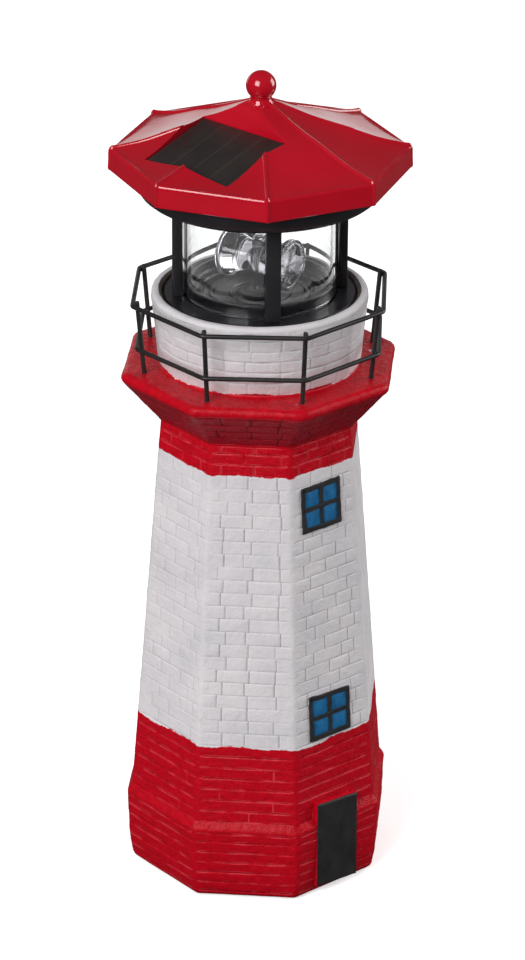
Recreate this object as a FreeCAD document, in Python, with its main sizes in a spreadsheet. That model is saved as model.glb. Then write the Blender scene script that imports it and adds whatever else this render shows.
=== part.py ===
import FreeCAD, Part
import math
import os
import Sketcher
from FreeCAD import Placement, Rotation
from FreeCAD import Vector as V

# Garden lighthouse ornament. Millimetres, +Z up, origin on the ground under the tower's axis, door towards -Y.
# A bearing b is measured from -Y towards +X, seen from above, so the door is at bearing 0.

doc = FreeCAD.newDocument("garden_lighthouse")
sheet = doc.addObject("Spreadsheet::Sheet", "dims")

TABLE = [
    # resin casting: octagon corner radii and heights, from the ground up
    ("cast_foot_r", 57.0), ("cast_foot_z", 0.8),
    ("cast_low_r", 58.6), ("cast_low_z", 4.5),
    ("cast_mid_r", 59.5), ("cast_mid_z", 11.0),
    ("cast_top_r", 60.4), ("cast_top_z", 33.4),
    ("ledge_out_r", 60.1), ("ledge_out_z", 35.6),
    ("wall_foot_r", 58.25), ("wall_foot_z", 38.3),
    ("wall_head_r", 44.25), ("wall_head_z", 213.0),
    ("gal_under_r", 60.4), ("gal_under_z", 231.8),
    ("gal_edge_r", 61.6), ("gal_edge_z", 234.2),
    ("gal_lip_r", 60.8), ("gal_lip_z", 236.2),
    ("gal_top_r", 59.6), ("gal_top_z", 236.8),
    ("oct_turn", 22.5),
    # round drum on the gallery
    ("drum_foot_r", 43.3), ("drum_head_r", 46.4), ("drum_head_z", 267.2), ("drum_rim_z", 269.0),
    ("drum_bore_r", 41.5), ("drum_seat_z", 265.0), ("drum_seat_r", 38.6),
    # hollow inside
    ("cave_foot_r", 47.0), ("cave_foot_z", 36.0), ("cave_head_r", 35.8), ("cave_head_z", 213.0), ("cave_step_z", 219.0),
    # door and windows, on the flat towards -Y
    ("door_w", 23.0), ("door_foot_z", 2.8), ("door_head_z", 45.0), ("door_face_y", 56.4),
    ("win_w", 21.6), ("win_tall", 20.4), ("win_high_z", 183.0), ("win_low_z", 85.4), ("win_low_w", 22.8),
    ("win_proud", 0.8), ("pane_deep", 0.6), ("bar_w", 1.9), ("wall_lean", 4.233),
    # pads
    ("pad_r", 3.5), ("pad_ring_r", 51.2),
    # wire railing
    ("wire_r", 1.0), ("rail_turn", 25.23), ("rail_high_r", 57.2), ("rail_high_z", 268.1), ("rail_low_r", 55.4),
    ("rail_low_z", 248.4), ("rail_bend", 3.5), ("post_end_z", 270.2),
    ("post_foot_z", 232.6), ("post_bite", 0.03),
    # lantern floor
    ("plate_r", 41.0), ("plate_under_z", 265.0), ("plate_top_z", 268.0), ("ridge_out_r", 31.0), ("ridge_in_r", 29.4),
    ("ridge_top_z", 273.5), ("well_z", 267.0), ("boss_r", 7.5), ("boss_top_z", 268.8), ("bush_out_r", 4.5),
    ("boss_foot_z", 262.8),
    # clear tube
    ("tube_out_r", 33.1), ("tube_in_r", 31.1), ("tube_foot_z", 268.05), ("tube_head_z", 311.95),
    # pillars
    ("pillar_in_r", 33.5), ("pillar_deep", 3.8), ("pillar_w", 6.4), ("pillar_turn", -31.2), ("pillar_tall", 44.0),
    ("pillar_mid_r", 35.4), ("lead_r", 0.9), ("duct_r", 1.25),
    # pan under the roof
    ("pan_z", 312.0), ("pan_flat_r", 45.0), ("pan_rim_r", 54.4), ("pan_flange_z", 325.0), ("pan_thick", 2.0),
    ("flange_r", 60.4), ("roof_turn", 7.5),
    # roof: octagon corner radii and heights
    ("rim_low_r", 63.8), ("rim_low_z", 322.7), ("rim_high_r", 63.2), ("rim_high_z", 331.8), ("roof_one_r", 62.4),
    ("roof_one_z", 332.5), ("roof_two_r", 56.7), ("roof_two_z", 333.8), ("roof_three_r", 48.0), ("roof_three_z", 335.5),
    ("roof_four_r", 34.0), ("roof_four_z", 341.5), ("roof_five_r", 22.0), ("roof_five_z", 345.5), ("roof_six_r", 5.6),
    ("roof_six_z", 352.6), ("skin", 2.3),
    # roof screws and bosses
    ("roof_boss_ring", 38.0), ("roof_boss_r", 3.0), ("roof_boss_z", 317.0),
    # solar panel
    ("panel_w", 46.2), ("panel_long", 36.5), ("panel_thick", 2.6), ("panel_out_r", 27.8), ("panel_z", 337.5),
    ("panel_tilt", 15.5), ("panel_turn", -82.5), ("panel_gap", 0.3), ("tray_wall", 1.8), ("tray_floor", 1.6), ("tray_lean", 36.0),
    # finial
    ("ball_r", 6.4), ("ball_z", 359.75), ("neck_r", 4.9), ("stem_r", 1.8), ("stem_foot_z", 346.6),
    # rotating lens
    ("lens_z", 283.0), ("lens_turn", 105.4), ("hub_r", 3.4), ("hub_foot_z", 270.5), ("hub_head_z", 293.0),
    ("hub_step_z", 277.0), ("lamp_room_r", 2.15), ("lamp_room_z", 288.0),
    # spindle and gears
    ("spindle_r", 2.6), ("spindle_bore", 1.85), ("spindle_foot_z", 252.4), ("spindle_run", 0.05), ("gear_hi_z", 259.0),
    ("gear_lo_z", 254.5), ("gear_face", 3.0), ("gear_module", 0.5), ("main_teeth", 48), ("wheel_teeth", 44),
    ("pinion_teeth", 12), ("idler_gap", 15.0), ("rotor_gap", 14.0), ("pin_r", 1.0), ("pin_run", 0.05),
    ("rotor_r", 0.75), ("can_r", 10.0), ("can_foot_z", 236.0), ("deck_z", 250.0), ("deck_thick", 2.0), ("deck_r", 30.2),
    # housing
    ("cup_r", 33.0), ("cup_in_r", 31.0), ("cup_floor_z", 210.0), ("cup_floor", 2.0), ("lug_ring", 35.7), ("lug_r", 2.5),
    ("lug_foot_z", 255.2), ("lug_head_z", 259.0), ("lug_turn", 13.8), ("screw_r", 1.0), ("head_r", 1.9),
    # battery bay, its axis along Y
    ("bay_x", 8.0), ("bay_y", 26.3), ("bay_wall", 1.5), ("bay_roof_z", 230.5), ("cell_r", 7.2), ("cell_long", 50.0),
    ("cell_z", 220.4), ("hinge_x", -10.5), ("hinge_z", 211.0), ("hinge_pin_r", 0.6),
    ("knuckle_r", 0.95),
    # slide switch
    ("switch_x", 17.0), ("switch_travel", 3.0),
]
VALUE = {}
for row, (alias, value) in enumerate(TABLE, 1):
    sheet.set("A%d" % row, alias)
    sheet.set("B%d" % row, repr(value))
    sheet.setAlias("B%d" % row, alias)
    VALUE[alias] = float(value)
doc.recompute()


class Q:
    """A size: its value, and the expression that ties it to the sheet."""

    def __init__(self, v, e):
        self.v, self.e = float(v), e

    def __add__(self, o):
        o = q(o)
        return Q(self.v + o.v, "(%s + %s)" % (self.e, o.e))

    def __sub__(self, o):
        o = q(o)
        return Q(self.v - o.v, "(%s - %s)" % (self.e, o.e))

    def __mul__(self, o):
        o = q(o)
        return Q(self.v * o.v, "(%s * %s)" % (self.e, o.e))

    def __truediv__(self, o):
        o = q(o)
        return Q(self.v / o.v, "(%s / %s)" % (self.e, o.e))

    def __neg__(self):
        return Q(-self.v, "(0 - %s)" % self.e)

    __radd__ = __add__
    __rmul__ = __mul__

    def __rsub__(self, o):
        return q(o) - self


def q(x):
    return x if isinstance(x, Q) else Q(x, repr(round(float(x), 6)))


def d(alias):
    return Q(VALUE[alias], "dims." + alias)


def cosd(a):
    a = q(a)
    return Q(math.cos(math.radians(a.v)), "cos((%s) * 1 deg)" % a.e)


def sind(a):
    a = q(a)
    return Q(math.sin(math.radians(a.v)), "sin((%s) * 1 deg)" % a.e)


def at(r, b):
    """The point at radius r and bearing b."""
    return q(r) * sind(b), -(q(r) * cosd(b))


def bind(obj, prop, size):
    size = q(size)
    obj.setExpression(prop, size.e)


def origin(body, role):
    return [f for f in body.Origin.OriginFeatures if f.Role == role][0]


def new_body(label):
    body = doc.addObject("PartDesign::Body", label)
    body.Label = label
    return body


def sketch(body, name, role, pts=(), off=None, rings=(), tilt=None):
    """A closed polygon through pts, and circles (x, y, r), all tied to the sheet."""
    sk = body.newObject("Sketcher::SketchObject", name)
    sk.AttachmentSupport = [(origin(body, role), "")]
    sk.MapMode = "FlatFace"
    if off is not None or tilt is not None:
        sk.AttachmentOffset = Placement(V(0, 0, q(off or 0).v), tilt or Rotation())
        if off is not None:
            bind(sk, ".AttachmentOffset.Base.z", off)
    pts = [(q(x), q(y)) for x, y in pts]
    n = len(pts)
    if n:
        sk.addGeometry(
            [Part.LineSegment(V(pts[i][0].v, pts[i][1].v, 0), V(pts[(i + 1) % n][0].v, pts[(i + 1) % n][1].v, 0)) for i in range(n)],
            False,
        )
        for i in range(n):
            sk.addConstraint(Sketcher.Constraint("Coincident", i, 2, (i + 1) % n, 1))
        for i, (x, y) in enumerate(pts):
            for kind, size, axis, tag in (("DistanceX", x, -2, "x"), ("DistanceY", y, -1, "y")):
                if size.e in ("0.0", "-0.0"):
                    sk.addConstraint(Sketcher.Constraint("PointOnObject", i, 1, axis))
                else:
                    k = sk.addConstraint(Sketcher.Constraint(kind, -1, 1, i, 1, size.v))
                    sk.renameConstraint(k, "%s%d" % (tag, i))
                    if "dims." in size.e:
                        sk.setExpression("Constraints.%s%d" % (tag, i), size.e)
    for j, (x, y, r) in enumerate(rings):
        x, y, r = q(x), q(y), q(r)
        g = sk.addGeometry(Part.Circle(V(x.v, y.v, 0), V(0, 0, 1), r.v), False)
        for kind, size, axis, tag in (("DistanceX", x, -2, "cx"), ("DistanceY", y, -1, "cy")):
            if size.e in ("0.0", "-0.0"):
                sk.addConstraint(Sketcher.Constraint("PointOnObject", g, 3, axis))
            else:
                k = sk.addConstraint(Sketcher.Constraint(kind, -1, 1, g, 3, size.v))
                sk.renameConstraint(k, "%s%d" % (tag, j))
                if "dims." in size.e:
                    sk.setExpression("Constraints.%s%d" % (tag, j), size.e)
        k = sk.addConstraint(Sketcher.Constraint("Radius", g, r.v))
        sk.renameConstraint(k, "cr%d" % j)
        if "dims." in r.e:
            sk.setExpression("Constraints.cr%d" % j, r.e)
    return sk


def octagon(r, turn):
    return [(q(r) * cosd(q(turn) + 45 * k), q(r) * sind(q(turn) + 45 * k)) for k in range(8)]


def rect(x0, x1, y0, y1):
    return [(x0, y0), (x1, y0), (x1, y1), (x0, y1)]


def loft(body, name, sections, cut=False):
    op = body.newObject("PartDesign::SubtractiveLoft" if cut else "PartDesign::AdditiveLoft", name)
    op.Profile = sections[0]
    op.Sections = sections[1:]
    op.Ruled = True
    body.Tip = op
    return op


def turned(body, name, pts, cut=False):
    """A profile of (radius, height) points turned about the body's Z axis."""
    sk = sketch(body, name + "_profile", "XZ_Plane", pts)
    op = body.newObject("PartDesign::Groove" if cut else "PartDesign::Revolution", name)
    op.Profile = sk
    op.ReferenceAxis = (sk, ["V_Axis"])
    op.Angle = 360
    body.Tip = op
    return op


def pad(body, name, sk, length, back=False):
    op = body.newObject("PartDesign::Pad", name)
    op.Profile = sk
    bind(op, "Length", length)
    op.Reversed = back
    body.Tip = op
    return op


def pocket(body, name, sk, length, back=False):
    """Cuts behind the sketch, or in front of it with back."""
    op = body.newObject("PartDesign::Pocket", name)
    op.Profile = sk
    bind(op, "Length", length)
    op.Reversed = back
    body.Tip = op
    return op


def around(body, name, feature, count):
    op = body.newObject("PartDesign::PolarPattern", name)
    op.Originals = [feature]
    op.Axis = (origin(body, "Z_Axis"), [""])
    op.Angle = 360
    op.Occurrences = count
    body.Tip = op
    return op


def place(obj, x, y, z, rotation=None):
    x, y, z = q(x), q(y), q(z)
    obj.Placement = Placement(V(x.v, y.v, z.v), rotation or Rotation())
    for tag, size in (("x", x), ("y", y), ("z", z)):
        if "dims." in size.e:
            bind(obj, ".Placement.Base." + tag, size)
    return obj


def cylinder(name, r, tall, x=0, y=0, z=0, rotation=None):
    o = doc.addObject("Part::Cylinder", name)
    bind(o, "Radius", r)
    bind(o, "Height", tall)
    return place(o, x, y, z, rotation)


def block(name, lx, ly, lz, x=0, y=0, z=0, rotation=None):
    o = doc.addObject("Part::Box", name)
    bind(o, "Length", lx)
    bind(o, "Width", ly)
    bind(o, "Height", lz)
    return place(o, x, y, z, rotation)


def fused(name, parts):
    o = doc.addObject("Part::MultiFuse", name)
    o.Shapes = parts
    return o


def cut(name, base, tool):
    o = doc.addObject("Part::Cut", name)
    o.Base = base
    o.Tool = tool
    return o


def common(name, parts):
    o = doc.addObject("Part::MultiCommon", name)
    o.Shapes = parts
    return o


def group(name, parts):
    o = doc.addObject("Part::Compound", name)
    o.Links = parts
    return o


def screw(name, x, y, head_z, head_tall, tip_z, up=True):
    """A pan-head screw along Z: its head starts at head_z and its shank ends at tip_z."""
    x, y = q(x), q(y)
    head = cylinder(name + "_head", d("head_r"), head_tall, x, y, head_z)
    if up:
        base = q(head_z) + head_tall
        shank = cylinder(name + "_shank", d("screw_r"), q(tip_z) - base, x, y, base)
    else:
        shank = cylinder(name + "_shank", d("screw_r"), q(head_z) - tip_z, x, y, tip_z)
    return fused(name, [head, shank])


def feature(label, shape, x=0, y=0, z=0):
    o = doc.addObject("Part::Feature", label)
    o.Label = label
    o.Shape = shape
    return place(o, x, y, z)


NODES = []


def keep(obj, label):
    obj.Label = label
    NODES.append((label, obj))
    return obj


# ---------------------------------------------------------------- resin casting
cast = new_body("casting_body")
LEVELS = ["cast_foot", "cast_low", "cast_mid", "cast_top", "ledge_out", "wall_foot", "wall_head", "gal_under", "gal_edge", "gal_lip", "gal_top"]
loft(cast, "casting_outside", [sketch(cast, "level_%s" % n, "XY_Plane", octagon(d(n + "_r"), d("oct_turn")), off=d(n + "_z")) for n in LEVELS])
# round drum, flared outwards, with a rounded rim
turned(cast, "drum", [
    (0, d("gal_top_z") - 6), (d("drum_foot_r"), d("gal_top_z") - 6), (d("drum_foot_r"), d("gal_top_z")),
    (d("drum_head_r"), d("drum_head_z")), (d("drum_head_r") - 0.5, d("drum_rim_z") - 0.5), (d("drum_head_r") - 1.6, d("drum_rim_z")), (0, d("drum_rim_z")),
])
# door slab, standing proud of the wall and just proud of the plinth
door = sketch(cast, "door_outline", "XZ_Plane", rect(-(d("door_w") / 2), d("door_w") / 2, d("door_foot_z"), d("door_head_z")), off=d("door_face_y") - 8)
pad(cast, "door_slab", door, 8)
# two window frames on the leaning wall, each with four sunk panes
for tag, zc, w in (("high", "win_high_z", "win_w"), ("low", "win_low_z", "win_low_w")):
    slope = (VALUE["wall_foot_r"] - VALUE["wall_head_r"]) / (VALUE["wall_head_z"] - VALUE["wall_foot_z"])
    wall_r = d("wall_foot_r") - (d(zc) - d("wall_foot_z")) * ((d("wall_foot_r") - d("wall_head_r")) / (d("wall_head_z") - d("wall_foot_z")))
    face = wall_r * cosd(22.5)
    lean = Rotation(V(1, 0, 0), -VALUE["wall_lean"])
    half_w, half_h = d(w) / 2, d("win_tall") / 2

    def win_sketch(name, pts, out):
        sk = sketch(cast, name, "XZ_Plane", pts)
        sk.AttachmentOffset = Placement(V(0, VALUE[zc], (face + out).v), lean)
        bind(sk, ".AttachmentOffset.Base.y", d(zc))
        bind(sk, ".AttachmentOffset.Base.z", face + out)
        return sk

    frame = win_sketch("window_%s_outline" % tag, rect(-half_w, half_w, -half_h, half_h), -2.0)
    pad(cast, "window_%s_frame" % tag, frame, d("win_proud") + 2.0)
    for sx in (-1, 1):
        for sy in (-1, 1):
            xa, xb = d("bar_w") / 2, half_w - d("bar_w")
            ya, yb = d("bar_w") / 2, half_h - d("bar_w")
            px = (xa, xb) if sx > 0 else (-xb, -xa)
            py = (ya, yb) if sy > 0 else (-yb, -ya)
            pane = win_sketch("pane_%s_%d_%d" % (tag, sx + 1, sy + 1), rect(px[0], px[1], py[0], py[1]), d("win_proud"))
            pocket(cast, "sink_%s_%d_%d" % (tag, sx + 1, sy + 1), pane, d("pane_deep"))
# hollow inside, open underneath, with the seat for the lantern at the top
turned(cast, "hollow", [
    (0, d("cast_foot_z") - 1), (d("cave_foot_r"), d("cast_foot_z") - 1), (d("cave_foot_r"), d("cave_foot_z")), (d("cave_head_r"), d("cave_head_z")),
    (d("cave_head_r"), d("cave_step_z") - 3), (d("drum_seat_r"), d("cave_step_z")), (d("drum_seat_r"), d("drum_seat_z")), (d("drum_bore_r"), d("drum_seat_z")),
    (d("drum_bore_r"), d("drum_rim_z") - 0.5), (d("drum_bore_r") + 0.5, d("drum_rim_z") + 1), (0, d("drum_rim_z") + 1),
], cut=True)

# ---------------------------------------------------------------- wire railing
def inside_corner(r):
    """Where a post stands against the inside of a bent corner, biting a little into the wire."""
    return r - d("rail_bend") * (1 / math.cos(math.radians(22.5)) - 1) - d("wire_r") * 2 + d("post_bite")


post_slope = (inside_corner(d("rail_high_r")) - inside_corner(d("rail_low_r"))) / (d("rail_high_z") - d("rail_low_z"))


def post_r(z):
    return inside_corner(d("rail_low_r")) + (q(z) - d("rail_low_z")) * post_slope


def rail_cylinders(stem, r, z0, z1):
    made = []
    lean = math.degrees(math.atan(post_slope.v))
    for k in range(8):
        b = d("rail_turn") + 45 * k
        x, y = at(post_r(z0), b)
        rot = Rotation(V(0, 0, 1), b.v - 90).multiply(Rotation(V(0, 1, 0), lean))
        made.append(cylinder("%s_%d" % (stem, k + 1), r, (q(z1) - z0) / math.cos(math.radians(lean)), x, y, z0, rot))
    return made


sockets = group("post_sockets", rail_cylinders("post_socket", d("wire_r") + 0.05, d("post_foot_z"), d("gal_top_z") + 3))
keep(cut("tower_cut", cast, sockets), "tower_casting")
keep(group("rail_posts", rail_cylinders("rail_post", d("wire_r"), d("post_foot_z"), d("post_end_z"))), "rail_posts")


def bent_ring(label, r, z):
    """A closed octagon of wire with bent corners: straight runs joined by tangent arcs, swept with a round section."""
    R, bend, turn = r.v, VALUE["rail_bend"], VALUE["rail_turn"]
    corner = [V(R * math.sin(math.radians(turn + 45 * k)), -R * math.cos(math.radians(turn + 45 * k)), z.v) for k in range(8)]
    t = bend * math.tan(math.radians(22.5))
    edges = []
    for k in range(8):
        a, b, c = corner[k], corner[(k + 1) % 8], corner[(k + 2) % 8]
        ab, bc = (b - a).normalize(), (c - b).normalize()
        edges.append(Part.LineSegment(a + ab * t, b - ab * t).toShape())
        outward = V(b.x, b.y, 0).normalize()
        centre = b - outward * (bend / math.cos(math.radians(22.5)))
        edges.append(Part.Arc(b - ab * t, centre + outward * bend, b + bc * t).toShape())
    path = Part.Wire(edges)
    start = edges[0].valueAt((edges[0].FirstParameter + edges[0].LastParameter) / 2)
    half = Part.LineSegment(start, edges[0].Vertexes[-1].Point).toShape()
    rest = Part.LineSegment(edges[0].Vertexes[0].Point, start).toShape()
    path = Part.Wire([half] + edges[1:] + [rest])
    direction = (edges[0].Vertexes[-1].Point - edges[0].Vertexes[0].Point).normalize()
    ring = Part.Wire([Part.Circle(start, direction, VALUE["wire_r"]).toShape()])
    solid = path.makePipeShell([ring], True, True)
    if solid.ShapeType != "Solid":
        solid = Part.Solid(Part.Shell(solid.Faces))
    want = math.pi * VALUE["wire_r"] ** 2 * path.Length
    print(label, "volume", round(solid.Volume, 1), "section times length", round(want, 1))
    return feature(label, solid)


keep(bent_ring("rail_upper_ring", d("rail_high_r"), d("rail_high_z")), "rail_upper_ring")
keep(bent_ring("rail_lower_ring", d("rail_low_r"), d("rail_low_z")), "rail_lower_ring")

# ---------------------------------------------------------------- pads under the casting
pads = []
for k in range(4):
    x, y = at(d("pad_ring_r"), d("oct_turn") + 90 * k)
    pads.append(cylinder("pad_%d" % (k + 1), d("pad_r"), d("cast_foot_z"), x, y, 0))
keep(group("foot_pad_set", pads), "foot_pads")

# ---------------------------------------------------------------- lantern floor
PILLARS = [d("pillar_turn") + 90 * k for k in range(4)]  # the third one, at the back, carries the lead
LEAD_B = PILLARS[2]
LUGS = [d("lug_turn") + 120 * k for k in range(3)]
STANDS = [(18.0, 10.0), (-18.0, 10.0), (-17.0, -21.0)]

plate = new_body("lantern_plate")
turned(plate, "floor_disc", [
    (d("bush_out_r"), d("boss_foot_z")), (d("boss_r"), d("boss_foot_z")), (d("boss_r"), d("plate_under_z")), (d("plate_r"), d("plate_under_z")),
    (d("plate_r"), d("plate_top_z") - 0.5), (d("plate_r") - 0.5, d("plate_top_z")), (d("ridge_out_r"), d("plate_top_z")), (d("ridge_out_r"), d("ridge_top_z") - 0.5),
    (d("ridge_out_r") - 0.4, d("ridge_top_z")), (d("ridge_in_r") + 0.4, d("ridge_top_z")), (d("ridge_in_r"), d("ridge_top_z") - 0.5), (d("ridge_in_r"), d("well_z")),
    (d("boss_r") + 1.8, d("well_z")), (d("boss_r"), d("boss_top_z")), (d("bush_out_r"), d("boss_top_z")),
])
# stand-offs for the gear deck, bosses for the housing screws, and the upper seat of the idler pin
stand = sketch(plate, "stand_rings", "XY_Plane", rings=[(x, y, 2.4) for x, y in STANDS], off=d("deck_z") + d("deck_thick"))
pad(plate, "stands", stand, d("plate_under_z") - d("deck_z") - d("deck_thick"))
lug_bosses = sketch(plate, "lug_boss_rings", "XY_Plane", rings=[at(d("lug_ring"), b) + (d("lug_r"),) for b in LUGS], off=d("lug_head_z"))
pad(plate, "lug_bosses", lug_bosses, d("plate_under_z") - d("lug_head_z"))
seat = sketch(plate, "pin_seat_ring", "XY_Plane", rings=[(0, -d("idler_gap"), 2.2)], off=d("plate_under_z") - 2)
pad(plate, "pin_seat", seat, 2)
holes = sketch(plate, "stand_holes", "XY_Plane", rings=[(x, y, d("screw_r")) for x, y in STANDS], off=d("deck_z") + d("deck_thick"))
pocket(plate, "stand_bores", holes, 8, back=True)
holes = sketch(plate, "lug_holes", "XY_Plane", rings=[at(d("lug_ring"), b) + (d("screw_r"),) for b in LUGS], off=d("lug_head_z"))
pocket(plate, "lug_bores", holes, 7.4, back=True)
holes = sketch(plate, "pin_hole", "XY_Plane", rings=[(0, -d("idler_gap"), d("pin_r"))], off=d("plate_under_z") - 2)
pocket(plate, "pin_bore", holes, 1.6, back=True)
holes = sketch(plate, "pillar_head_holes", "XY_Plane", rings=[at(d("pillar_mid_r"), b) + (d("head_r") + 0.1,) for k, b in enumerate(PILLARS) if k != 2], off=d("plate_under_z"))
pocket(plate, "pillar_head_bores", holes, 1.4, back=True)
holes = sketch(plate, "pillar_screw_holes", "XY_Plane", rings=[at(d("pillar_mid_r"), b) + (d("screw_r"),) for k, b in enumerate(PILLARS) if k != 2], off=d("plate_under_z"))
pocket(plate, "pillar_screw_bores", holes, 6, back=True)
holes = sketch(plate, "lead_hole", "XY_Plane", rings=[at(d("pillar_mid_r"), LEAD_B) + (d("duct_r"),)], off=d("plate_under_z"))
pocket(plate, "lead_bore", holes, 6, back=True)
keep(plate, "lantern_plate")

bush = new_body("spindle_bush")
turned(bush, "bush", [
    (d("spindle_r") + d("spindle_run"), d("boss_foot_z") - 0.6), (d("bush_out_r") + 1.6, d("boss_foot_z") - 0.6), (d("bush_out_r") + 1.6, d("boss_foot_z")),
    (d("bush_out_r"), d("boss_foot_z")), (d("bush_out_r"), d("boss_top_z") + 0.2), (d("spindle_r") + d("spindle_run"), d("boss_top_z") + 0.2),
])
keep(bush, "spindle_bush")

tube = new_body("clear_tube")
turned(tube, "tube_wall", rect(d("tube_in_r"), d("tube_out_r"), d("tube_foot_z"), d("tube_head_z")))
keep(tube, "clear_tube")

# ---------------------------------------------------------------- pillars and their screws
pillars, post_screws = [], []
for k, b in enumerate(PILLARS):
    rot = Rotation(V(0, 0, 1), b.v - 90)
    x0 = d("pillar_in_r") * sind(b) - (d("pillar_w") / 2) * cosd(b)
    y0 = -(d("pillar_in_r") * cosd(b)) - (d("pillar_w") / 2) * sind(b)
    bar = block("pillar_bar_%d" % (k + 1), d("pillar_deep"), d("pillar_w"), d("pillar_tall"), x0, y0, d("plate_top_z"), rot)
    x, y = at(d("pillar_mid_r"), b)
    if k == 2:
        tool = cylinder("pillar_duct", d("duct_r"), d("pillar_tall") + 2, x, y, d("plate_top_z") - 1)
    else:
        low = cylinder("pillar_low_%d" % (k + 1), d("screw_r"), 9, x, y, d("plate_top_z") - 0.5)
        high = cylinder("pillar_high_%d" % (k + 1), d("screw_r"), 9, x, y, d("pan_z") - 8.5)
        tool = fused("pillar_bores_%d" % (k + 1), [low, high])
        post_screws.append(screw("low_screw_%d" % (k + 1), x, y, d("plate_under_z"), 1.3, d("plate_top_z") + 8))
        post_screws.append(screw("high_screw_%d" % (k + 1), x, y, d("pan_z") + d("pan_thick"), 1.3, d("pan_z") - 8, up=False))
    pillars.append(cut("pillar_%d" % (k + 1), bar, tool))
keep(group("pillar_set", pillars), "lantern_posts")
keep(group("post_screw_set", post_screws), "post_screws")

# ---------------------------------------------------------------- pan under the roof
ROOF_BOSSES = [d("panel_turn") + 120 * k for k in range(3)]
pan = new_body("roof_pan")
P, T = d("pan_z"), d("pan_thick")
turned(pan, "pan_bowl", [
    (0, P), (d("ridge_in_r"), P), (d("ridge_in_r"), P - 1.6), (d("ridge_out_r"), P - 1.6), (d("ridge_out_r"), P), (d("pan_flat_r"), P),
    (47.6, P + 0.5), (50.4, P + 1.9), (52.9, P + 4.2), (54.8, P + 7.4), (d("pan_rim_r"), P + 11), (d("pan_rim_r"), d("pan_flange_z")),
    (d("pan_rim_r") - T, d("pan_flange_z")), (d("pan_rim_r") - T, P + 11.2), (53.0, P + 8.2), (51.4, P + 5.5), (49.3, P + 3.6), (47.0, P + 2.5), (d("pan_flat_r"), P + T), (0, P + T),
])
flange = sketch(pan, "flange_outline", "XY_Plane", octagon(d("flange_r"), d("roof_turn")), off=d("pan_flange_z"), rings=[(0, 0, d("pan_rim_r") - T)])
pad(pan, "pan_flange", flange, 2)
bosses = sketch(pan, "pan_boss_rings", "XY_Plane", rings=[at(d("roof_boss_ring"), b) + (3.6,) for b in ROOF_BOSSES], off=P + 1)
pad(pan, "pan_bosses", bosses, d("roof_boss_z") - P - 1)
holes = sketch(pan, "pan_head_holes", "XY_Plane", rings=[at(d("roof_boss_ring"), b) + (d("head_r") + 0.2,) for b in ROOF_BOSSES], off=P)
pocket(pan, "pan_head_bores", holes, 2.6, back=True)
holes = sketch(pan, "pan_screw_holes", "XY_Plane", rings=[at(d("roof_boss_ring"), b) + (d("screw_r") + 0.1,) for b in ROOF_BOSSES], off=P)
pocket(pan, "pan_screw_bores", holes, 8, back=True)
holes = sketch(pan, "pan_pillar_holes", "XY_Plane", rings=[at(d("pillar_mid_r"), b) + (d("screw_r"),) for k, b in enumerate(PILLARS) if k != 2], off=P - 1)
pocket(pan, "pan_pillar_bores", holes, 6, back=True)
holes = sketch(pan, "pan_lead_hole", "XY_Plane", rings=[at(d("pillar_mid_r"), LEAD_B) + (d("duct_r"),)], off=P - 1)
pocket(pan, "pan_lead_bore", holes, 6, back=True)
keep(pan, "roof_pan")
roof_screws = []
for k, b in enumerate(ROOF_BOSSES):
    x, y = at(d("roof_boss_ring"), b)
    roof_screws.append(screw("roof_screw_%d" % (k + 1), x, y, P + 1.2, 1.4, P + 14))
keep(group("roof_screw_set", roof_screws), "roof_screws")

# ---------------------------------------------------------------- roof
ROOF = ["rim_low", "rim_high", "roof_one", "roof_two", "roof_three", "roof_four", "roof_five", "roof_six"]
outer = new_body("roof_outer")
loft(outer, "roof_outer_loft", [sketch(outer, "outer_%s" % n, "XY_Plane", octagon(d(n + "_r"), d("roof_turn")), off=d(n + "_z")) for n in ROOF])
inner = new_body("roof_inner")
S = d("skin")
INNER = [
    (d("rim_low_r") - S, d("rim_low_z") - 1), (d("rim_high_r") - S, d("rim_high_z") - S), (d("roof_two_r"), d("roof_two_z") - S), (d("roof_three_r"), d("roof_three_z") - S),
    (d("roof_four_r"), d("roof_four_z") - S), (d("roof_five_r"), d("roof_five_z") - S), (d("roof_six_r"), d("roof_six_z") - S * 1.4),
]
loft(inner, "roof_inner_loft", [sketch(inner, "inner_%d" % k, "XY_Plane", octagon(r, d("roof_turn")), off=z) for k, (r, z) in enumerate(INNER)])
shell = cut("roof_skin", outer, inner)
# the panel lies in a sunk tray, tilted down outwards; its frame: x down the slope, y across, z out of the glass
bp = VALUE["panel_turn"]
slope_rot = Rotation(V(0, 0, 1), bp - 90).multiply(Rotation(V(0, 1, 0), VALUE["panel_tilt"]))
glass = V(VALUE["panel_out_r"] * math.sin(math.radians(bp)), -VALUE["panel_out_r"] * math.cos(math.radians(bp)), VALUE["panel_z"])


def slanted(name, lx, ly, lz, top):
    """A block in the panel's frame, centred on the glass, its upper face top above the glass plane."""
    lx, ly, lz, top = q(lx), q(ly), q(lz), q(top)
    corner = glass + slope_rot.multVec(V(-lx.v / 2, -ly.v / 2, top.v - lz.v))
    o = doc.addObject("Part::Box", name)
    bind(o, "Length", lx)
    bind(o, "Width", ly)
    bind(o, "Height", lz)
    o.Placement = Placement(corner, slope_rot)
    return o


G, W = d("panel_gap"), d("tray_wall")
# the wall above the panel leans back, up to the neck
lean_rot = slope_rot.multiply(Rotation(V(0, 1, 0), -VALUE["tray_lean"]))
foot = glass + slope_rot.multVec(V(-(VALUE["panel_long"] / 2 + VALUE["panel_gap"]), 0, -0.4))


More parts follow.
